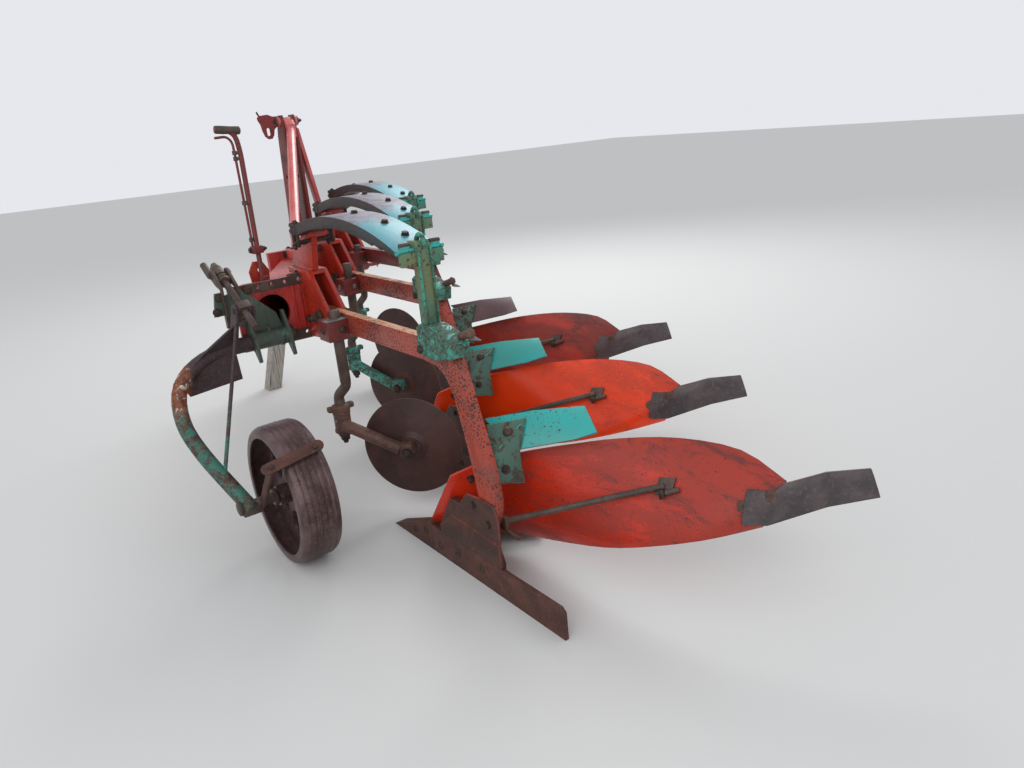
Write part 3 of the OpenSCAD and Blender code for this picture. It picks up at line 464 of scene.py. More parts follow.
def lay(obj, place, axis=(0, 0, 1), turn=0):
    """Moves a piece modelled at the origin on +Z to its place and direction, in its mesh."""
    tilt = Vector(axis).to_track_quat("Z", "Y").to_matrix().to_4x4()
    obj.data.transform(Matrix.Translation(place) @ tilt @ Matrix.Rotation(math.radians(turn), 4, "Z"))
    return obj


def cuboid(size, middle):
    """A plain block, in metres."""
    bpy.ops.object.select_all(action="DESELECT")
    bpy.ops.mesh.primitive_cube_add(size=1, location=(0, 0, 0))
    obj = bpy.context.object
    obj.data.transform(Matrix.Translation(middle) @ Matrix.Diagonal((*size, 1)))
    return obj


def block(low, high, edge=2):
    """A forged or sawn block between two corners in mm, its edges eased."""
    size = [(b - a) / 1000 for a, b in zip(low, high)]
    return ease(cuboid(size, at(*[(a + b) / 2 for a, b in zip(low, high)])), edge)


def trace(data, places, closed=False):
    """Draws straight lines from place to place, in metres, in a curve."""
    spline = data.splines.new("POLY")
    spline.points.add(len(places) - 1)
    for point, place in zip(spline.points, places):
        point.co = (*place, 1)
    spline.use_cyclic_u = closed
    return spline


def meshed(data):
    """Turns a curve into a closed mesh piece."""
    obj = bpy.data.objects.new("piece", data)
    bpy.context.collection.objects.link(obj)
    pick(obj)
    bpy.ops.object.convert(target="MESH")
    return close_up(bpy.context.object)


def rod(points, radius, ripple=0.0, sides=4):
    """A round bar along points in mm; ripple makes it swell and shrink from point to point, as a weld does."""
    data = bpy.data.curves.new("rod", "CURVE")
    data.dimensions = "3D"
    spline = trace(data, [at(*place) for place in points])
    for index, point in enumerate(spline.points):
        point.radius = 1 + ripple * (0.5 - index * 0.618 % 1)
    data.bevel_depth = radius / 1000
    data.bevel_resolution = sides
    data.use_fill_caps = True
    return meshed(data)


def bend(points, reach=30, steps=5):
    """Rounds the corners of a path of mm points, starting reach away from each."""
    path = [Vector(points[0])]
    for before, corner, after in zip(points, points[1:], points[2:]):
        before, corner, after = Vector(before), Vector(corner), Vector(after)
        start = corner + (before - corner).normalized() * min(reach, (before - corner).length * 0.49)
        stop = corner + (after - corner).normalized() * min(reach, (after - corner).length * 0.49)
        for index in range(steps + 1):
            t = index / steps
            path.append(start * (1 - t) ** 2 + corner * 2 * t * (1 - t) + stop * t * t)
    return [*path, Vector(points[-1])]


def bead(start, stop, radius=3.5):
    """A weld bead between two places in mm, rippled every few mm."""
    a, b = Vector(start), Vector(stop)
    count = max(4, int((b - a).length / 7))
    return rod([a.lerp(b, index / count) for index in range(count + 1)], radius, ripple=0.5, sides=1)


def ring(u, v, radius, long=0.0):
    """A round hole's loop in mm, or a slot's that is longer by long at each end."""
    loop = []
    for index in range(20):
        angle = math.radians(18 * index)
        shift = long if math.sin(angle) > 0 else -long
        loop.append((u + radius * math.cos(angle), v + radius * math.sin(angle) + shift))
    return loop


def plate(outline, across, low, high, holes=(), edge=1.2):
    """A flat plate cut to an outline in mm, from low to high on the axis across it, with its rims eased."""
    data = bpy.data.curves.new("plate", "CURVE")
    data.dimensions = "2D"
    data.fill_mode = "BOTH"
    for loop in (outline, *holes):
        trace(data, [(u / 1000, v / 1000, 0) for u, v in loop], closed=True)
    data.extrude = (high - low) / 2000 - edge / 1000
    data.bevel_depth = edge / 1000
    data.bevel_resolution = 0
    data.offset = -edge / 1000
    obj = meshed(data)
    right, up, normal = (Vector(v) for v in ACROSS[across])
    way = Matrix((right, up, normal)).transposed().to_4x4()
    middle = Vector([abs(n) for n in normal]) * (low + high) / 2000 + SHIFT
    obj.data.transform(Matrix.Translation(middle) @ way)
    return obj


def settle(obj, name, finish, body, replaced=()):
    """Names a finished piece, shades it and gives it its finish and the body that it rides on. A piece that
    has its finishes already is settled with None."""
    obj.name = name
    pick(obj)
    bpy.ops.object.shade_smooth_by_angle(angle=SMOOTH_EDGE)
    if finish:
        obj.data.materials.clear()
        obj.data.materials.append(finish)
    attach(obj, body)
    if replaced:
        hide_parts(*replaced)
    return obj


def copy_of(obj, move=Vector((0, 0, 0))):
    """Another of a piece, with its own mesh, moved by metres."""
    twin = bpy.data.objects.new(obj.name, obj.data.copy())
    twin.data.transform(Matrix.Translation(move))
    bpy.context.collection.objects.link(twin)
    return twin


def join(pieces):
    """Joins pieces into the first of them."""
    bpy.ops.object.select_all(action="DESELECT")
    for piece in pieces:
        piece.select_set(True)
    bpy.context.view_layer.objects.active = pieces[0]
    if len(pieces) > 1:
        bpy.ops.object.join()
    return bpy.context.view_layer.objects.active


def on_each(pieces, name, finish):
    """Settles pieces modelled for the rear plough body as one, and a copy on each body ahead of it."""
    first = join(pieces)
    for place, twin in zip(PLACES, (first, copy_of(first, STEP), copy_of(first, STEP * 2))):
        settle(twin, f"{name}_{place}", finish, "frame")


# Fasteners, in mm for a 16 mm bolt

WASHER = [(17, 0), (17, 2.4), (16.4, 3)]


def hex_head():
    head = turned([(12.6, 3), (13.9, 4), (13.9, 11.5), (12.2, 13), (6, 13.3)], 6)
    return join([head, turned(WASHER, 28)])


def hex_nut():
    """A nut on its washer, with the end of the bolt's thread standing out of it."""
    nut = turned([(12.4, 3), (13.9, 4.2), (13.9, 14.6), (12.2, 16)], 6)
    crests = [(8 - 0.7 * (index % 2), 16 + index * 1.1) for index in range(8)]
    thread = turned([(8, 14), *crests, (6.4, 25.4)], 16)
    return join([nut, turned(WASHER, 28), thread])


def round_head():
    return turned([(13.5, 0), (13.5, 2.6), (12.6, 5), (10.2, 7.2), (6.6, 8.8), (2.4, 9.4)], 24)


def slot_head():
    """A countersunk plough bolt's head, standing a little proud, with its slot."""
    head = turned([(14.5, 0), (14.5, 1.4), (13.4, 2.6), (9, 3.2)], 28)
    slot = cuboid((0.022, 0.0044, 0.0034), (0, 0, 0.0032))
    finish_with(head, "BOOLEAN", object=slot, operation="DIFFERENCE", solver="EXACT")
    bpy.data.objects.remove(slot)
    return head


def grease_nipple():
    return turned([(5, 0), (5, 5), (3, 6), (3, 8), (4, 9.5), (3.2, 12), (1.6, 12.6)], 12)


PATTERNS = {"bolt": hex_head, "nut": hex_nut, "round": round_head, "slot": slot_head, "nipple": grease_nipple}
models = {}
fitted = {}


def fastener(kind, size=1.0):
    """A fresh fastener at the origin, standing on +Z."""
    if kind not in models:
        models[kind] = PATTERNS[kind]()
    screw = copy_of(models[kind])
    screw.data.transform(Matrix.Scale(size, 4))
    return screw


def fit(screw, finish, body):
    """Counts a fastener that is in place to the ones of its finish on its body."""
    fitted.setdefault((body, finish.name), []).append(screw)


def fasten(kind, place, axis, finish, size=1.0, turn=0.0, body="frame", step=0):
    """Sets a fastener on a surface at a place in mm, on the given plough body."""
    fit(lay(fastener(kind, size), at(*place, step), axis, turn), finish, body)


def gather_fasteners():
    """Makes one piece of all the fasteners of one finish that ride on one body."""
    for index, ((body, finish), screws) in enumerate(sorted(fitted.items())):
        settle(join(screws), f"fasteners_{body}_{index}", bpy.data.materials[finish], body)
    for model in models.values():
        bpy.data.objects.remove(model)


# Dressing the CAD nodes

CAD_EDGE_MM = 1.8
# Faces that meet at less than this are one flat face.
FLAT = math.radians(0.6)
# How far forward the bare steel of each spring's leaves has worn back its enamel.
SPRING_WEAR = {"rear": 0.04, "middle": 0.17, "front": 0.0}
# The front trash board, whose paint is gone, begins at this Y.
PLUM_FROM = at(0, 1640, 0).y

# The finish of each node's faces and that of its edges.
FINISHES = {
    "main_beam": (RED, EDGE_RED), "beam_flanges": (RED_FLANGE, EDGE_DARK), "leg_brackets": (RED, EDGE_RED),
    "leg_rear": (RED_LEG, EDGE_RED), "leg_middle": (RED_LEG, EDGE_RED), "leg_front": (RED_DARK, EDGE_RED),
    "mouldboard_rear": (BOARD_NEAR, EDGE_DARK), "mouldboard_middle": (BOARD_BRIGHT, EDGE_DARK),
    "mouldboard_front": (BOARD_FAR, EDGE_DARK), "coulter_clamps": (RED_DARK, EDGE_DARK),
    "mast": (RED_DARK, EDGE_DARK), "mast_strut": (RED_PALE, EDGE_RED), "mast_brace": (RED_PALE, EDGE_RED),
    "hitch_shaft": (RED_DARK, EDGE_DARK), "lever": (RED_DARK, EDGE_DARK), "spring_links": (LINK, EDGE_TEAL),
    "leg_saddles": (TEAL, EDGE_TEAL), "trash_boards": (TURQUOISE, EDGE_TEAL),
    "trash_brackets": (TEAL_PLATE, EDGE_TEAL), "coulter_arm_rear": (RUST_ARM, EDGE_DARK),
    "coulter_arm_middle": (TEAL, EDGE_DARK), "coulter_arm_front": (TEAL, EDGE_DARK),
    "wheel_mount": (GREEN_GREY, EDGE_DARK), "wheel_arm": (ARM, EDGE_DARK),
    "screw_yoke": (RUST_GREY, EDGE_DARK), "frogs": (RUST_PAINT, EDGE_RED),
    "landsides": (RUST, EDGE_DARK), "share_points": (RUST, EDGE_DARK),
    "shares": (RUST, EDGE_DARK), "disc_rear": (RUST_DISC, EDGE_DARK), "disc_middle": (RUST_DISC, EDGE_DARK),
    "disc_front": (RUST_DISC, EDGE_DARK), "wheel_scraper": (RUST, EDGE_DARK), "leg_pivots": (BOLT, EDGE_DARK),
    "board_tails": (STEEL, EDGE_DARK), "board_stays": (RUST_GREY, EDGE_DARK),
    "coulter_stems": (RUST_GREY, EDGE_DARK), "wheel_pivot_shaft": (BOLT, EDGE_DARK),
    "wheel_axle": (RUST_GREY, EDGE_DARK), "depth_screw": (RUST_GREY, EDGE_DARK),
    "screw_nut": (RUST_GREY, EDGE_DARK), "prop_post": (TIMBER, TIMBER),
}


def dress(node, finish, edge_finish):
    """Puts in a CAD node's stead a copy with its flat faces merged and its hard edges eased and worn."""
    obj = bpy.data.objects.new(node, nodes[node].data.copy())
    bpy.context.collection.objects.link(obj)
    pick(obj)
    bpy.ops.object.mode_set(mode="EDIT")
    bpy.ops.mesh.select_all(action="SELECT")
    bpy.ops.mesh.remove_doubles(threshold=CAD_MERGE)
    bpy.ops.mesh.dissolve_limited(angle_limit=FLAT, delimit=set())
    bpy.ops.object.mode_set(mode="OBJECT")
    obj.data.materials.clear()
    obj.data.materials.append(finish)
    obj.data.materials.append(edge_finish)
    ease(obj, CAD_EDGE_MM, material=1)
    settle(obj, "dressed_" + node, None, BODY_OF[node], replaced=(node,))


def dress_all():
    """Dresses every node in its finish, each spring's leaves in its own, and the front trash board in plum."""
    for node, (finish, edge_finish) in FINISHES.items():
        dress(node, finish, edge_finish)
    for place in PLACES:
        low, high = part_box("spring_" + place)
        leaves = spring_finish("spring leaves, " + place, low[1], high[1], SPRING_WEAR[place])
        dress("spring_" + place, leaves, EDGE_DARK)
    boards = bpy.data.objects["dressed_trash_boards"].data
    boards.materials.append(PLUM)
    for face in boards.polygons:
        if face.material_index == 0 and face.center.y > PLUM_FROM:
            face.material_index = 2


# Beam and headstock

FLANGE_BOLTS_X = (-194, -137, -80, -23)
FLANGE_BOLTS_Z = (924, 706)
# The rear face of the straps, and the rear and front faces of a flange joint.
STRAP_Y, FLANGE_REAR_Y, FLANGE_FRONT_Y = 1518.5, 1524, 1556
MAST_X, MAST_Y, MAST_PIN_Z = 670, 3090, 1560
HITCH_Y, HITCH_Z, HITCH_HALF = 3190, 640, 412.5


def build_beam():
    """What is screwed and welded to the rear flange, and the bolts of the two flange joints ahead."""
    top_z, low_z = FLANGE_BOLTS_Z
    strap = plate([(-250, 904), (33, 904), (33, 941), (-250, 941)], "y", STRAP_Y, FLANGE_REAR_Y,
                  [ring(x, top_z, 8.5) for x in FLANGE_BOLTS_X])
    settle(strap, "flange_strap_top", RUST_GREY, "frame")
    foot = plate([(-112, 679), (33, 679), (33, 724), (-112, 724)], "y", STRAP_Y, FLANGE_REAR_Y,
                 [ring(x, low_z, 8.5) for x in FLANGE_BOLTS_X[2:]])
    settle(foot, "flange_strap_low", RUST_GREY, "frame")
    ribs = [block((x, 1516, 724), (x + 11, 1525, 904), 3) for x in (-62, -34, -6)]
    settle(join(ribs), "flange_ribs", RED_FLANGE, "frame")
    lock = plate([(-66, 1536), (-20, 1530), (30, 1548), (34, 1566), (-50, 1566)], "z", 941, 945.5,
                 [ring(-40, 1551, 6)])
    settle(lock, "lock_plate", RUST_GREY, "frame")
    fasten("bolt", (-10, 1556, 945.5), (0, 0, 1), BOLT, 0.7, 15)
    fasten("bolt", (-238, STRAP_Y, 922), (0, -1, 0), BOLT, 1.15, 10)
    for step in (1, 2):
        for index, x in enumerate(FLANGE_BOLTS_X):
            for z in FLANGE_BOLTS_Z:
                fasten("bolt", (x, FLANGE_REAR_Y, z), (0, -1, 0), BOLT, 1.05, index * 23 + z, step=step)
                fasten("nut", (x, FLANGE_FRONT_Y, z), (0, 1, 0), BOLT, 1.0, index * 17, step=step)
    seams = [bead((x, 1522.5, 690), (x, 1522.5, 934)) for x in (-12, 4, 52, 68)]
    seams += [bead((x, 1436, 962.5), (x, 1636, 962.5), 3) for x in (6, 30)]
    on_each(seams, "weld_beads", RED)


def build_headstock():
    """The top link's catch, the bosses and collars on the two cross shafts, and the mast's bolts and welds."""
    outline = [(640, 1590), (588, 1592), (560, 1604), (512, 1600), (500, 1588), (503, 1574), (514, 1552),
               (520, 1516), (530, 1486), (548, 1470), (570, 1472), (582, 1490), (590, 1520), (612, 1538),
               (640, 1540)]
    catch = plate(outline, "y", 3082, 3094, [ring(553, 1510, 10, long=12)])
    settle(catch, "top_link_catch", RED_DARK, "frame")
    tip = rod(bend([(514, 3088, 1596), (506, 3088, 1612), (500, 3078, 1618)], 8), 5)
    settle(tip, "catch_tip", RUST_GREY, "frame")
    for side, way in SIDES:
        boss = turned([(27, 0), (27, 5), (23, 9), (14, 11)], 28)
        lay(boss, at(MAST_X + way * 58, MAST_Y, MAST_PIN_Z), (way, 0, 0))
        settle(boss, f"head_boss_{side}", RUST_GREY, "frame")
        fasten("nut", (MAST_X + way * 68, MAST_Y, MAST_PIN_Z), (way, 0, 0), BOLT, 0.9, 12)
    for side, way in SIDES:
        x = MAST_X + way * HITCH_HALF
        collar = turned([(24, 0), (25, 1.5), (25, 8), (23, 10)], 32)
        lay(collar, at(x, HITCH_Y, HITCH_Z), (way, 0, 0))
        settle(collar, f"hitch_collar_{side}", RED_DARK, "frame")
        pin = turned([(4, -24), (4.5, -22), (4.5, 21), (9, 22), (9, 26), (4, 28)], 14)
        settle(lay(pin, at(x + way * 78, HITCH_Y, HITCH_Z)), f"linch_pin_{side}", BOLT_PALE, "frame")
    mast_edges_x = (628, 644, 696, 712)
    for x in mast_edges_x:
        for z in (720, 890):
            fasten("bolt", (x + (28 if x > MAST_X else -28), 3096.5, z), (0, 1, 0), BOLT, 0.95, x + z)
    seams = [bead((x, 3094, 690), (x, 3094, 938)) for x in mast_edges_x]
    settle(join(seams), "mast_welds", RED_DARK, "frame")
    for x, y in ((236, 2212), (285, 2212), (236, 2262)):
        fasten("bolt", (x, y, 954), (0, 0, 1), BOLT, 0.6, x)


def build_lever():
    """The hand lever's grip, its latch rod in guides, the clamp that holds it, and its quadrant."""
    y = 1640
    rod_x, rod_low, rod_high = -141, 1060, 1420
    grip = turned([(13, 0), (15, 4), (15.5, 30), (14.5, 60), (15.5, 92), (12, 96)], 20)
    settle(lay(grip, at(-200, y, 1516), (1, 0, -0.1)), "lever_grip", RUST_GREY, "frame")
    path = [(-206, y, 1486), (-160, y, 1488), (-142, y, 1466), (rod_x, y, rod_high), (rod_x, y, rod_low)]
    settle(rod(bend(path, 16), 5), "lever_latch_rod", RED_DARK, "frame")
    guides = []
    for z in (1426, 1404, 1236, 1092):
        guides.append(lay(turned([(9, 0), (9, 16)], 14), at(rod_x, y, z - 8)))
        guides.append(block((-142, y - 5, z - 5), (-118, y + 5, z + 5), 1))
    settle(join(guides), "lever_guides", RUST_GREY, "frame")
    clamp = block((-150, y - 18, 1036), (-104, y + 18, 1066), 4)
    settle(clamp, "lever_clamp", RED_DARK, "frame")
    fasten("bolt", (-150, y, 1051), (-1, 0, 0), BOLT, 0.75)
    fasten("nut", (-104, y, 1051), (1, 0, 0), BOLT, 0.7)
    quadrant = plate([(-165, 904), (-95, 904), (-88, 962), (-112, 1002), (-150, 1004), (-172, 965)],
                     "y", y + 12, y + 20, [ring(-128, 968, 8)])
    settle(quadrant, "lever_quadrant", RED, "frame")


# Legs, springs and links

# The leaves bend round this axis, in mm; the top leaf's outer face has the radius.
ARC_Y, ARC_Z, TOP_LEAF = 1085, -11, 1200
BOTTOM_LEAF, CLAMP_TOP, CLAMP_FOOT = 1160, 1208, 1136


def on_arc(x, y, radius=TOP_LEAF):
    """A place on the top leaf at y, and the way out of it."""
    rise = math.sqrt(radius ** 2 - (y - ARC_Y) ** 2)
    return (x, y, ARC_Z + rise), Vector((0, y - ARC_Y, rise)).normalized()


def clamp_plate(thick, radius):
    """One of the two plates that hold the leaves together, lying on the arc."""
    flat = block((-50, 1398, 0), (106, 1452, thick), 3)
    flat.data.transform(Matrix.Translation(-at(28, 1425, 0)))
    place, way = on_arc(28, 1425, radius)
    return lay(flat, at(*place), way)


def build_springs():
    """The leaves' bolts, the strip, sockets and pins at their rear end, the links' rails and hook, and the
    clamp."""
    leaf_x = 48
    for step in range(3):
        for index, y in enumerate((1290, 1069, 850, 722)):
            place, way = on_arc(leaf_x, y)
            fasten("bolt", place, way, BOLT, 0.82, 20 + index * 31, step=step)
            if y < 1200:
                place, way = on_arc(leaf_x, y, BOTTOM_LEAF)
                fasten("nut", place, -way, BOLT, 0.8, index * 21, step=step)
    strip = turned([(11, 0), (13, 2), (13, 164), (11, 166)], 20)
    strip.data.transform(Matrix.Diagonal((0.6, 1, 1, 1)))
    lay(strip, at(-55, 606, 1097), (1, 0, 0), 66)
    sockets = [block((x, 598, 1094), (x + 34, 622, 1114), 4) for x in (-42, 66)]
    pins = [lay(turned([(6.5, 0), (7.5, 2), (7.5, 34), (6.5, 36)], 16), at(x, 606, 1117), (1, 0, 0))
            for x in (-43, 65)]
    on_each([strip, *sockets], "leaf_end_strip", TURQUOISE)
    on_each(pins, "leaf_end_pins", RUST_GREY)
    side = [(574, 868), (582, 868), (582, 1108), (574, 1108)]
    rails = [plate(side, "x", x, x + 7, edge=1.5) for x in (2, 47)]
    on_each(rails, "link_rails", TEAL)
    path = [(28, 580, 1106), (28, 574, 1130), (28, 592, 1146), (28, 612, 1138), (28, 620, 1122)]
    hook = rod(bend(path, 14, 6), 8)
    on_each([hook], "link_hook", TEAL)
    on_each([clamp_plate(9, TOP_LEAF)], "leaf_clamp_plate", RUST_GREY)
    clamp = []
    for x in (-42, 98):
        for y in (1406, 1444):
            low, high = (on_arc(x, y, radius)[0] for radius in (1122, 1212))
            clamp.append(rod([low, high], 7.5))
            top, way = on_arc(x, y, CLAMP_TOP)
            foot, _ = on_arc(x, y, CLAMP_FOOT)
            for step in range(3):
                fasten("bolt", top, way, BOLT, 0.72, x + y, step=step)
                fasten("nut", foot, -way, BOLT, 0.72, y, step=step)
    clamp.append(clamp_plate(10, 1134))
    on_each(clamp, "leaf_clamp_bolts", BOLT)


def build_legs():
    """The nuts and bolts of the legs' pivots and brackets, and each saddle's long bolt with its pin."""
    for step in range(3):
        fasten("nut", (-26, 1385, 783), (-1, 0, 0), BOLT, 1.25, 11 + step * 7, step=step)
        fasten("nut", (82, 1385, 783), (1, 0, 0), BOLT, 1.25, 41, step=step)
        fasten("bolt", (-12, 1500, 760), (-1, 0, 0), BOLT, 0.95, 9, step=step)
        fasten("bolt", (68, 1500, 760), (1, 0, 0), BOLT, 0.95, 9, step=step)
        fasten("nut", (68, 1480, 880), (1, 0, 0), BOLT, 0.9, 9, step=step)
        fasten("round", (-4, 628, 778), (-1, 0, 0), BOLT, 1.05, step=step)
        fasten("nut", (60, 628, 778), (1, 0, 0), BOLT, 0.85, step=step)
    stub = rod([(44, 452, 838), (50, 410, 852)], 13)
    head = turned([(14, 0), (16, 2), (16, 12), (13, 15), (6, 17)], 6)
    lay(head, at(50, 412, 851), (0.13, -0.9, 0.32))
    on_each([stub, head], "saddle_bolt", RUST_ARM)
    tip = turned([(7, 0), (7, 14), (2, 34)], 16)
    on_each([lay(tip, at(58, 420, 836), (0.8, -0.5, -0.35))], "saddle_pin_tip", BOLT_PALE)


# Coulters

# How far each coulter stands turned about its spindle, in degrees.
SWING = (42, 29, 20)
SPINDLE_X, SPINDLE_Y = -42, 1270
# The disc's axle, while the arm trails straight back from a spindle at the origin.
HUB_Y, HUB_Z = -278, 270
COVER_BOLTS, COVER_BOLT_CIRCLE = 5, 51
CLAMP_BOLT_Z = 763


def swung(obj, step):
    """Moves a piece from an arm that trails straight back from the origin to where the coulter stands."""
    turn = Matrix.Rotation(math.radians(SWING[step]), 4, "Z")
    place = at(SPINDLE_X, SPINDLE_Y, 0, step)
    obj.data.transform(Matrix.Translation(place) @ turn @ Matrix.Translation(-SHIFT))
    return obj


def build_coulters():
    """The stop caps over the spindles, the arms' rings and nipples, the hub covers with their bolts, and the
    clamps' fasteners."""
    for step, place in enumerate(PLACES):
        arm, disc = f"coulter_{place}", f"disc_{place}_body"
        skin = (RUST_ARM, TEAL, TEAL)[step]
        hub_skin = (RUST_DISC, RUST, RUST)[step]
        clamp_bolt = (BOLT, BOLT_PALE, BOLT)[step]
        cap = turned([(34, 0.6), (37, 2), (37, 17), (33, 23), (25, 27), (22, 28)], 32)
        stop = [lay(cap, at(SPINDLE_X, SPINDLE_Y, 425, step))]
        for way in (-1, 1):
            x = SPINDLE_X + way * 40
            lug = block((x - 14, SPINDLE_Y - 14, 428), (x + 14, SPINDLE_Y + 14, 450), 5)
            lug.data.transform(Matrix.Translation(STEP * step))
            stop.append(lug)
        settle(join(stop), f"coulter_stop_{place}", skin, "frame")
        rings = [lay(turned([(34, 0), (36, 2), (36, 12), (34, 14)], 32), at(0, 0, 336)),
                 lay(turned([(34, 0), (35.5, 2), (35.5, 8), (34, 10)], 32), at(0, 0, 412))]
        settle(swung(join(rings), step), f"housing_rings_{place}", skin, arm)
        fit(swung(lay(fastener("nipple"), at(-33, 8, 392), (-1, 0.2, 0)), step), BOLT_PALE, arm)
        cone = turned([(26, 0), (30, 3), (41, 10), (52, 15), (60, 17.5), (62, 19.6)], 40)
        cover = turned([(58, 0), (56, 2.5), (42, 7), (41, 30), (36, 35), (20, 37.5)], 40)
        hub = [lay(cone, at(-22.2, HUB_Y, HUB_Z), (1, 0, 0)), lay(cover, at(2.6, HUB_Y, HUB_Z), (1, 0, 0))]
        settle(swung(join(hub), step), f"hub_cover_{place}", hub_skin, disc)
        for index in range(COVER_BOLTS):
            angle = math.radians(360 / COVER_BOLTS * index + 20)
            y, z = HUB_Y + COVER_BOLT_CIRCLE * math.cos(angle), HUB_Z + COVER_BOLT_CIRCLE * math.sin(angle)
            fit(swung(lay(fastener("round", 0.5), at(2.6, y, z), (1, 0, 0)), step), BOLT, disc)
        fit(swung(lay(fastener("nut", 1.35), at(-68, HUB_Y, 268), (-1, 0, 0), 14), step), BOLT, arm)
        fasten("nut", (SPINDLE_X, SPINDLE_Y, 323), (0, 0, -1), BOLT, 1.35, 8, step=step)
        fasten("round", (-74, 1230, CLAMP_BOLT_Z), (-1, 0, 0), clamp_bolt, 0.95, step=step)
        fasten("round", (-16, 1185, CLAMP_BOLT_Z), (0, -1, 0), clamp_bolt, 0.95, step=step)
        fasten("nut", (-50, 1275, CLAMP_BOLT_Z), (0, 1, 0), BOLT, 0.9, 14, step=step)
    outline = [(-78, 1183), (-40, 1180), (12, 1190), (10, 1238), (-30, 1234), (-76, 1226)]
    cover = plate(outline, "z", 799.5, 803, edge=0.8)
    settle(cover, "clamp_cover_rear", BOLT_PALE, "frame")


# Depth wheel

SCREW_NUT = Vector((-306, 1381, 877))
SCREW_WAY = Vector((0, 0.8796, 0.4756))
SCREW_DOWN = Vector((0, 0.4756, -0.8796))
THREADS, PITCH = 40, 0.005
PIVOT_Y, PIVOT_Z = 1490, 720
WHEEL_X, WHEEL_Y, WHEEL_Z = -355, 1070, 257.5


def on_screw(along, off=0.0, x=0.0):
    """A place on the depth screw: along it from the nut's pin, off its line, and sideways."""
    return at(*(SCREW_NUT + Vector((x, 0, 0)) + SCREW_WAY * along + SCREW_DOWN * off))


def build_depth_screw():
    """The screw's thread and collars, its crank's grip, and the ends of its yoke's and its nut's pins."""
    thread = turned([(12.6, 0), (14, 1.4), (14, 2.2), (12.6, 3.6)], 24)
    finish_with(thread, "ARRAY", count=THREADS, use_relative_offset=False, use_constant_offset=True,
                constant_offset_displace=(0, 0, PITCH))
    settle(lay(thread, on_screw(-112), SCREW_WAY), "screw_thread", RUST_GREY, "depth_screw_body")
    collars = [lay(turned(steps, 28), on_screw(along), SCREW_WAY) for along, steps in (
        (176, [(20, 0), (25, 3), (25, 14), (20, 18)]),
        (200, [(18, 0), (22, 3), (22, 9), (18, 12)]),
        (258, [(18, 0), (20, 2), (20, 14), (14, 18)]))]
    settle(join(collars), "screw_collars", RUST_GREY, "depth_screw_body")
    grip = turned([(11, 0), (14, 3), (14.5, 40), (13.5, 76), (14, 84), (10, 88)], 20)
    settle(lay(grip, on_screw(336, 80), SCREW_WAY), "crank_grip", RUST_GREY, "depth_screw_body")
    for side, way in SIDES:
        boss = lay(turned([(19, -4), (19, 1), (16, 4)], 24), at(-306 + way * 33.88, 1590, 990), (way, 0, 0))
        settle(boss, f"yoke_boss_{side}", RUST_GREY, "frame")
    for side, way in SIDES:
        yoke_pin = lay(turned([(11, 0), (11, 3), (8, 5)], 18), on_screw(237.6, 0, way * 38), (way, 0, 0))
        settle(yoke_pin, f"yoke_pin_end_{side}", BOLT, "depth_screw_body")
        nut_pin = lay(turned([(12, 0), (12, 3), (8, 5)], 18), on_screw(0, 0, way * 36.1), (way, 0, 0))
        settle(nut_pin, f"nut_pin_end_{side}", BOLT, "screw_nut_body")


def build_wheel_arm():
    """The tab that bolts the mount to the frame, the pivot tube's rings and cap, the clamp and collars on the
    wheel's axle, and the scraper's bolts."""
    tab = plate([(-378, 842), (-334, 842), (-334, 930), (-362, 930)], "y", 1512, 1524)
    settle(tab, "mount_tab", GREEN_GREY, "frame")
    for x, z, turn in ((-349, 913, 9), (-364, 858, 21)):
        fasten("bolt", (x, 1512, z), (0, -1, 0), BOLT, 0.95, turn)
        fasten("nut", (x, 1524, z), (0, 1, 0), BOLT, 0.9, turn)
    fasten("nipple", (-190, PIVOT_Y, 753), (0, 0, 1), BOLT_PALE)
    rings = [lay(turned([(35, 0), (36.5, 1.5), (36.5, 8), (35, 9.5)], 36), at(x, PIVOT_Y, PIVOT_Z), (1, 0, 0))
             for x in (-266, -150)]
    settle(join(rings), "mount_tube_rings", TUBE, "frame")
    cap = lay(turned([(29, 0), (29, 3), (22, 6)], 32), at(-342, PIVOT_Y, PIVOT_Z), (-1, 0, 0))
    settle(cap, "arm_hub_cap", RUST_GREY, "depth_arm")
    fasten("bolt", (-348, PIVOT_Y, PIVOT_Z), (-1, 0, 0), BOLT, 1.1, 14, body="depth_arm")
    fasten("bolt", (-94, PIVOT_Y, PIVOT_Z), (1, 0, 0), BOLT, 1.1, 14, body="depth_arm")
    fasten("bolt", (-505, 1432, 652), (0.2, -0.95, -0.1), BOLT, 0.6, 14, body="depth_arm")
    clamp = block((-545, 1052, 224), (-478, 1088, 262), 5)
    settle(clamp, "axle_clamp", RUST_GREY, "depth_arm")
    outer = lay(turned([(24, 0), (26, 2), (26, 9), (20, 12)], 28), at(-545, WHEEL_Y, WHEEL_Z), (-1, 0, 0))
    inner = lay(turned([(25, 0), (28, 2), (28, 12), (22, 15)], 28), at(-289, WHEEL_Y, WHEEL_Z), (1, 0, 0))
    settle(join([outer, inner]), "axle_collars", RUST_GREY, "depth_arm")
    scraper = Matrix.Rotation(math.radians(43), 3, "X")
    out = scraper @ Vector((0, 0, 1))
    for x, y in ((-118, -12), (44, 8)):
        place = Vector((WHEEL_X, WHEEL_Y, WHEEL_Z)) + scraper @ Vector((x, y, 279.5))
        fasten("round", place, out, BOLT, 0.7, body="depth_arm")


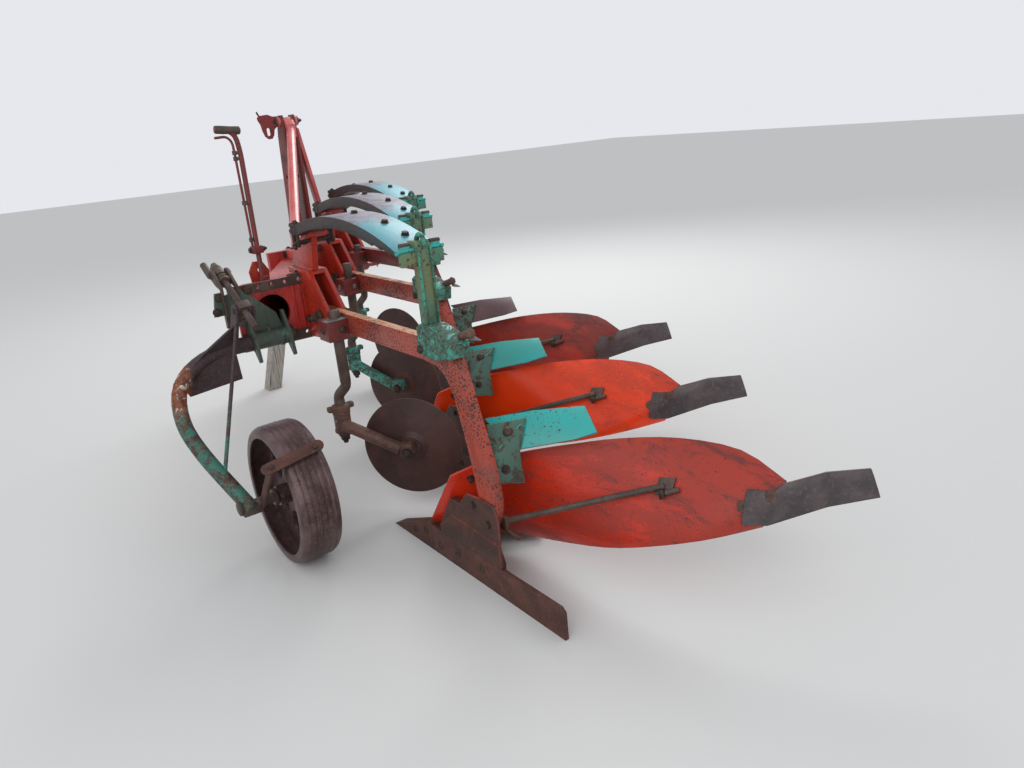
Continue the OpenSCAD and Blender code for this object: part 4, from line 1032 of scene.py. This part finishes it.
def build_depth_wheel():
    """The pressed steel wheel: a tread with shallow grooves round it, rolled shoulders, its web with six
    windows and a hub; its outline is swept round the axle."""
    shoulder = [(72.5, 217.5), (72.5, 240), (70, 246), (64, 251), (55, 254.6)]
    inside = [(66.5, 217.5), (66.5, 239), (40, 250.5), (5, 250.5), (5, 36), (58, 36), (58, 18.2)]
    tread = []
    for groove in (-44, -22, 0, 22, 44):
        crown = 257 - abs(groove) * 0.02
        tread += [(groove - 6, crown), (groove - 3, 254.2), (groove + 3, 254.2), (groove + 6, crown)]
    outline = [(-x, radius) for x, radius in shoulder] + tread + shoulder[::-1] + inside
    outline += [(-x, radius) for x, radius in inside[::-1]]
    section = bpy.data.curves.new("wheel section", "CURVE")
    section.dimensions = "3D"
    trace(section, [(x / 1000, 0, radius / 1000) for x, radius in outline], closed=True)
    wheel = finish_with(meshed(section), "SCREW", axis="X", angle=math.radians(360), steps=96,
                        render_steps=96, screw_offset=0, use_merge_vertices=True, merge_threshold=MERGE)
    close_up(wheel)
    windows, window_radius, window_circle = 6, 52, 0.135
    cutters = []
    for index in range(windows):
        angle = math.radians(360 / windows * index)
        hole = turned([(window_radius, -8), (window_radius, 8)], 32)
        y, z = window_circle * math.sin(angle), -window_circle * math.cos(angle)
        cutters.append(lay(hole, (0, y, z), (1, 0, 0)))
    cutter = join(cutters)
    finish_with(wheel, "BOOLEAN", object=cutter, operation="DIFFERENCE", solver="EXACT")
    bpy.data.objects.remove(cutter)
    wheel.data.transform(Matrix.Translation(at(WHEEL_X, WHEEL_Y, WHEEL_Z)))
    settle(wheel, "dressed_depth_wheel", RUST_WHEEL, "depth_wheel_body", replaced=("depth_wheel",))


# Plough bottoms

def build_bottoms():
    """The plough bolts through boards and landsides, the frogs' bolts, and the stays' brackets and threads."""
    for step in range(3):
        fasten("slot", (469, -264, 352), (-0.84, -0.36, 0.42), RUST_ARM, 1.2, 40, step=step)
        fasten("slot", (505, -331, 394), (-0.86, -0.3, 0.38), RUST_ARM, 1.2, 15, step=step)
        fasten("round", (134, 382, 514), (-0.43, -0.40, 0.81), BOLT, 1.25, step=step)
        fasten("nut", (85, 345, 412), (-0.20, -0.95, 0.23), BOLT, 0.85, 18, step=step)
        fasten("bolt", (4, 351, 246), (-1, 0, 0), BOLT, 0.8, 18, step=step)
        fasten("bolt", (4, 430, 290), (-1, 0, 0), BOLT, 0.8, 4, step=step)
        fasten("nut", (72, 536, 325), (-0.57, -0.75, -0.32), BOLT, 0.8, 4, step=step)
        for y, z in ((420, 60), (560, 60), (680, 40)):
            fasten("slot", (0, y, z), (-1, 0, 0), BOLT, 1.15, y, step=step)
        for y, z in ((780, 62), (860, 40)):
            fasten("slot", (0, y, z), (-1, 0, 0), BOLT, 1.05, y, step=step)
        fasten("nut", (367, -38, 351), (0.331, -0.361, 0.114), BOLT, 1.0, 10, step=step)
        fasten("nut", (52, 338, 243), (1, 0, 0), BOLT, 0.7, 10, step=step)
    knuckle = block((46, 318, 214), (64, 352, 262), 4)
    arm = rod([(58, 330, 214), (72, 286, 196)], 9)
    on_each([knuckle, arm], "stay_bracket", RUST_PAINT)
    tip = rod([(380, -52, 356), (408, -83, 366)], 8.5)
    on_each([tip], "stay_thread", RUST_GREY)


# Stage

def build_stage():
    """A pale floor under a pale sky, with two soft lamps."""
    bpy.ops.object.select_all(action="DESELECT")
    bpy.ops.mesh.primitive_plane_add(size=60, location=(0, 0, 0))
    floor = bpy.context.object
    floor.name = "floor"
    floor.data.materials.append(FLOOR)
    world = bpy.data.worlds.new("studio")
    world.use_nodes = True
    tree = world.node_tree
    tree.nodes.clear()
    sky = add(tree, "Background", {"Color": "F7F9FF", "Strength": 0.85})
    add(tree, "OutputWorld", {"Surface": sky})
    bpy.context.scene.world = world
    area_light("soft key", (3.5, 3.5, 4.5), (0, 0, 0.5), 3.0, 150)
    area_light("soft fill", (-4, -4, 3.5), (0, -0.5, 0.5), 4.0, 85)
    bpy.context.scene.view_settings.view_transform = "Standard"


place_camera()
dress_all()
build_beam()
build_headstock()
build_lever()
build_springs()
build_legs()
build_coulters()
build_depth_screw()
build_wheel_arm()
build_depth_wheel()
build_bottoms()
gather_fasteners()
build_stage()
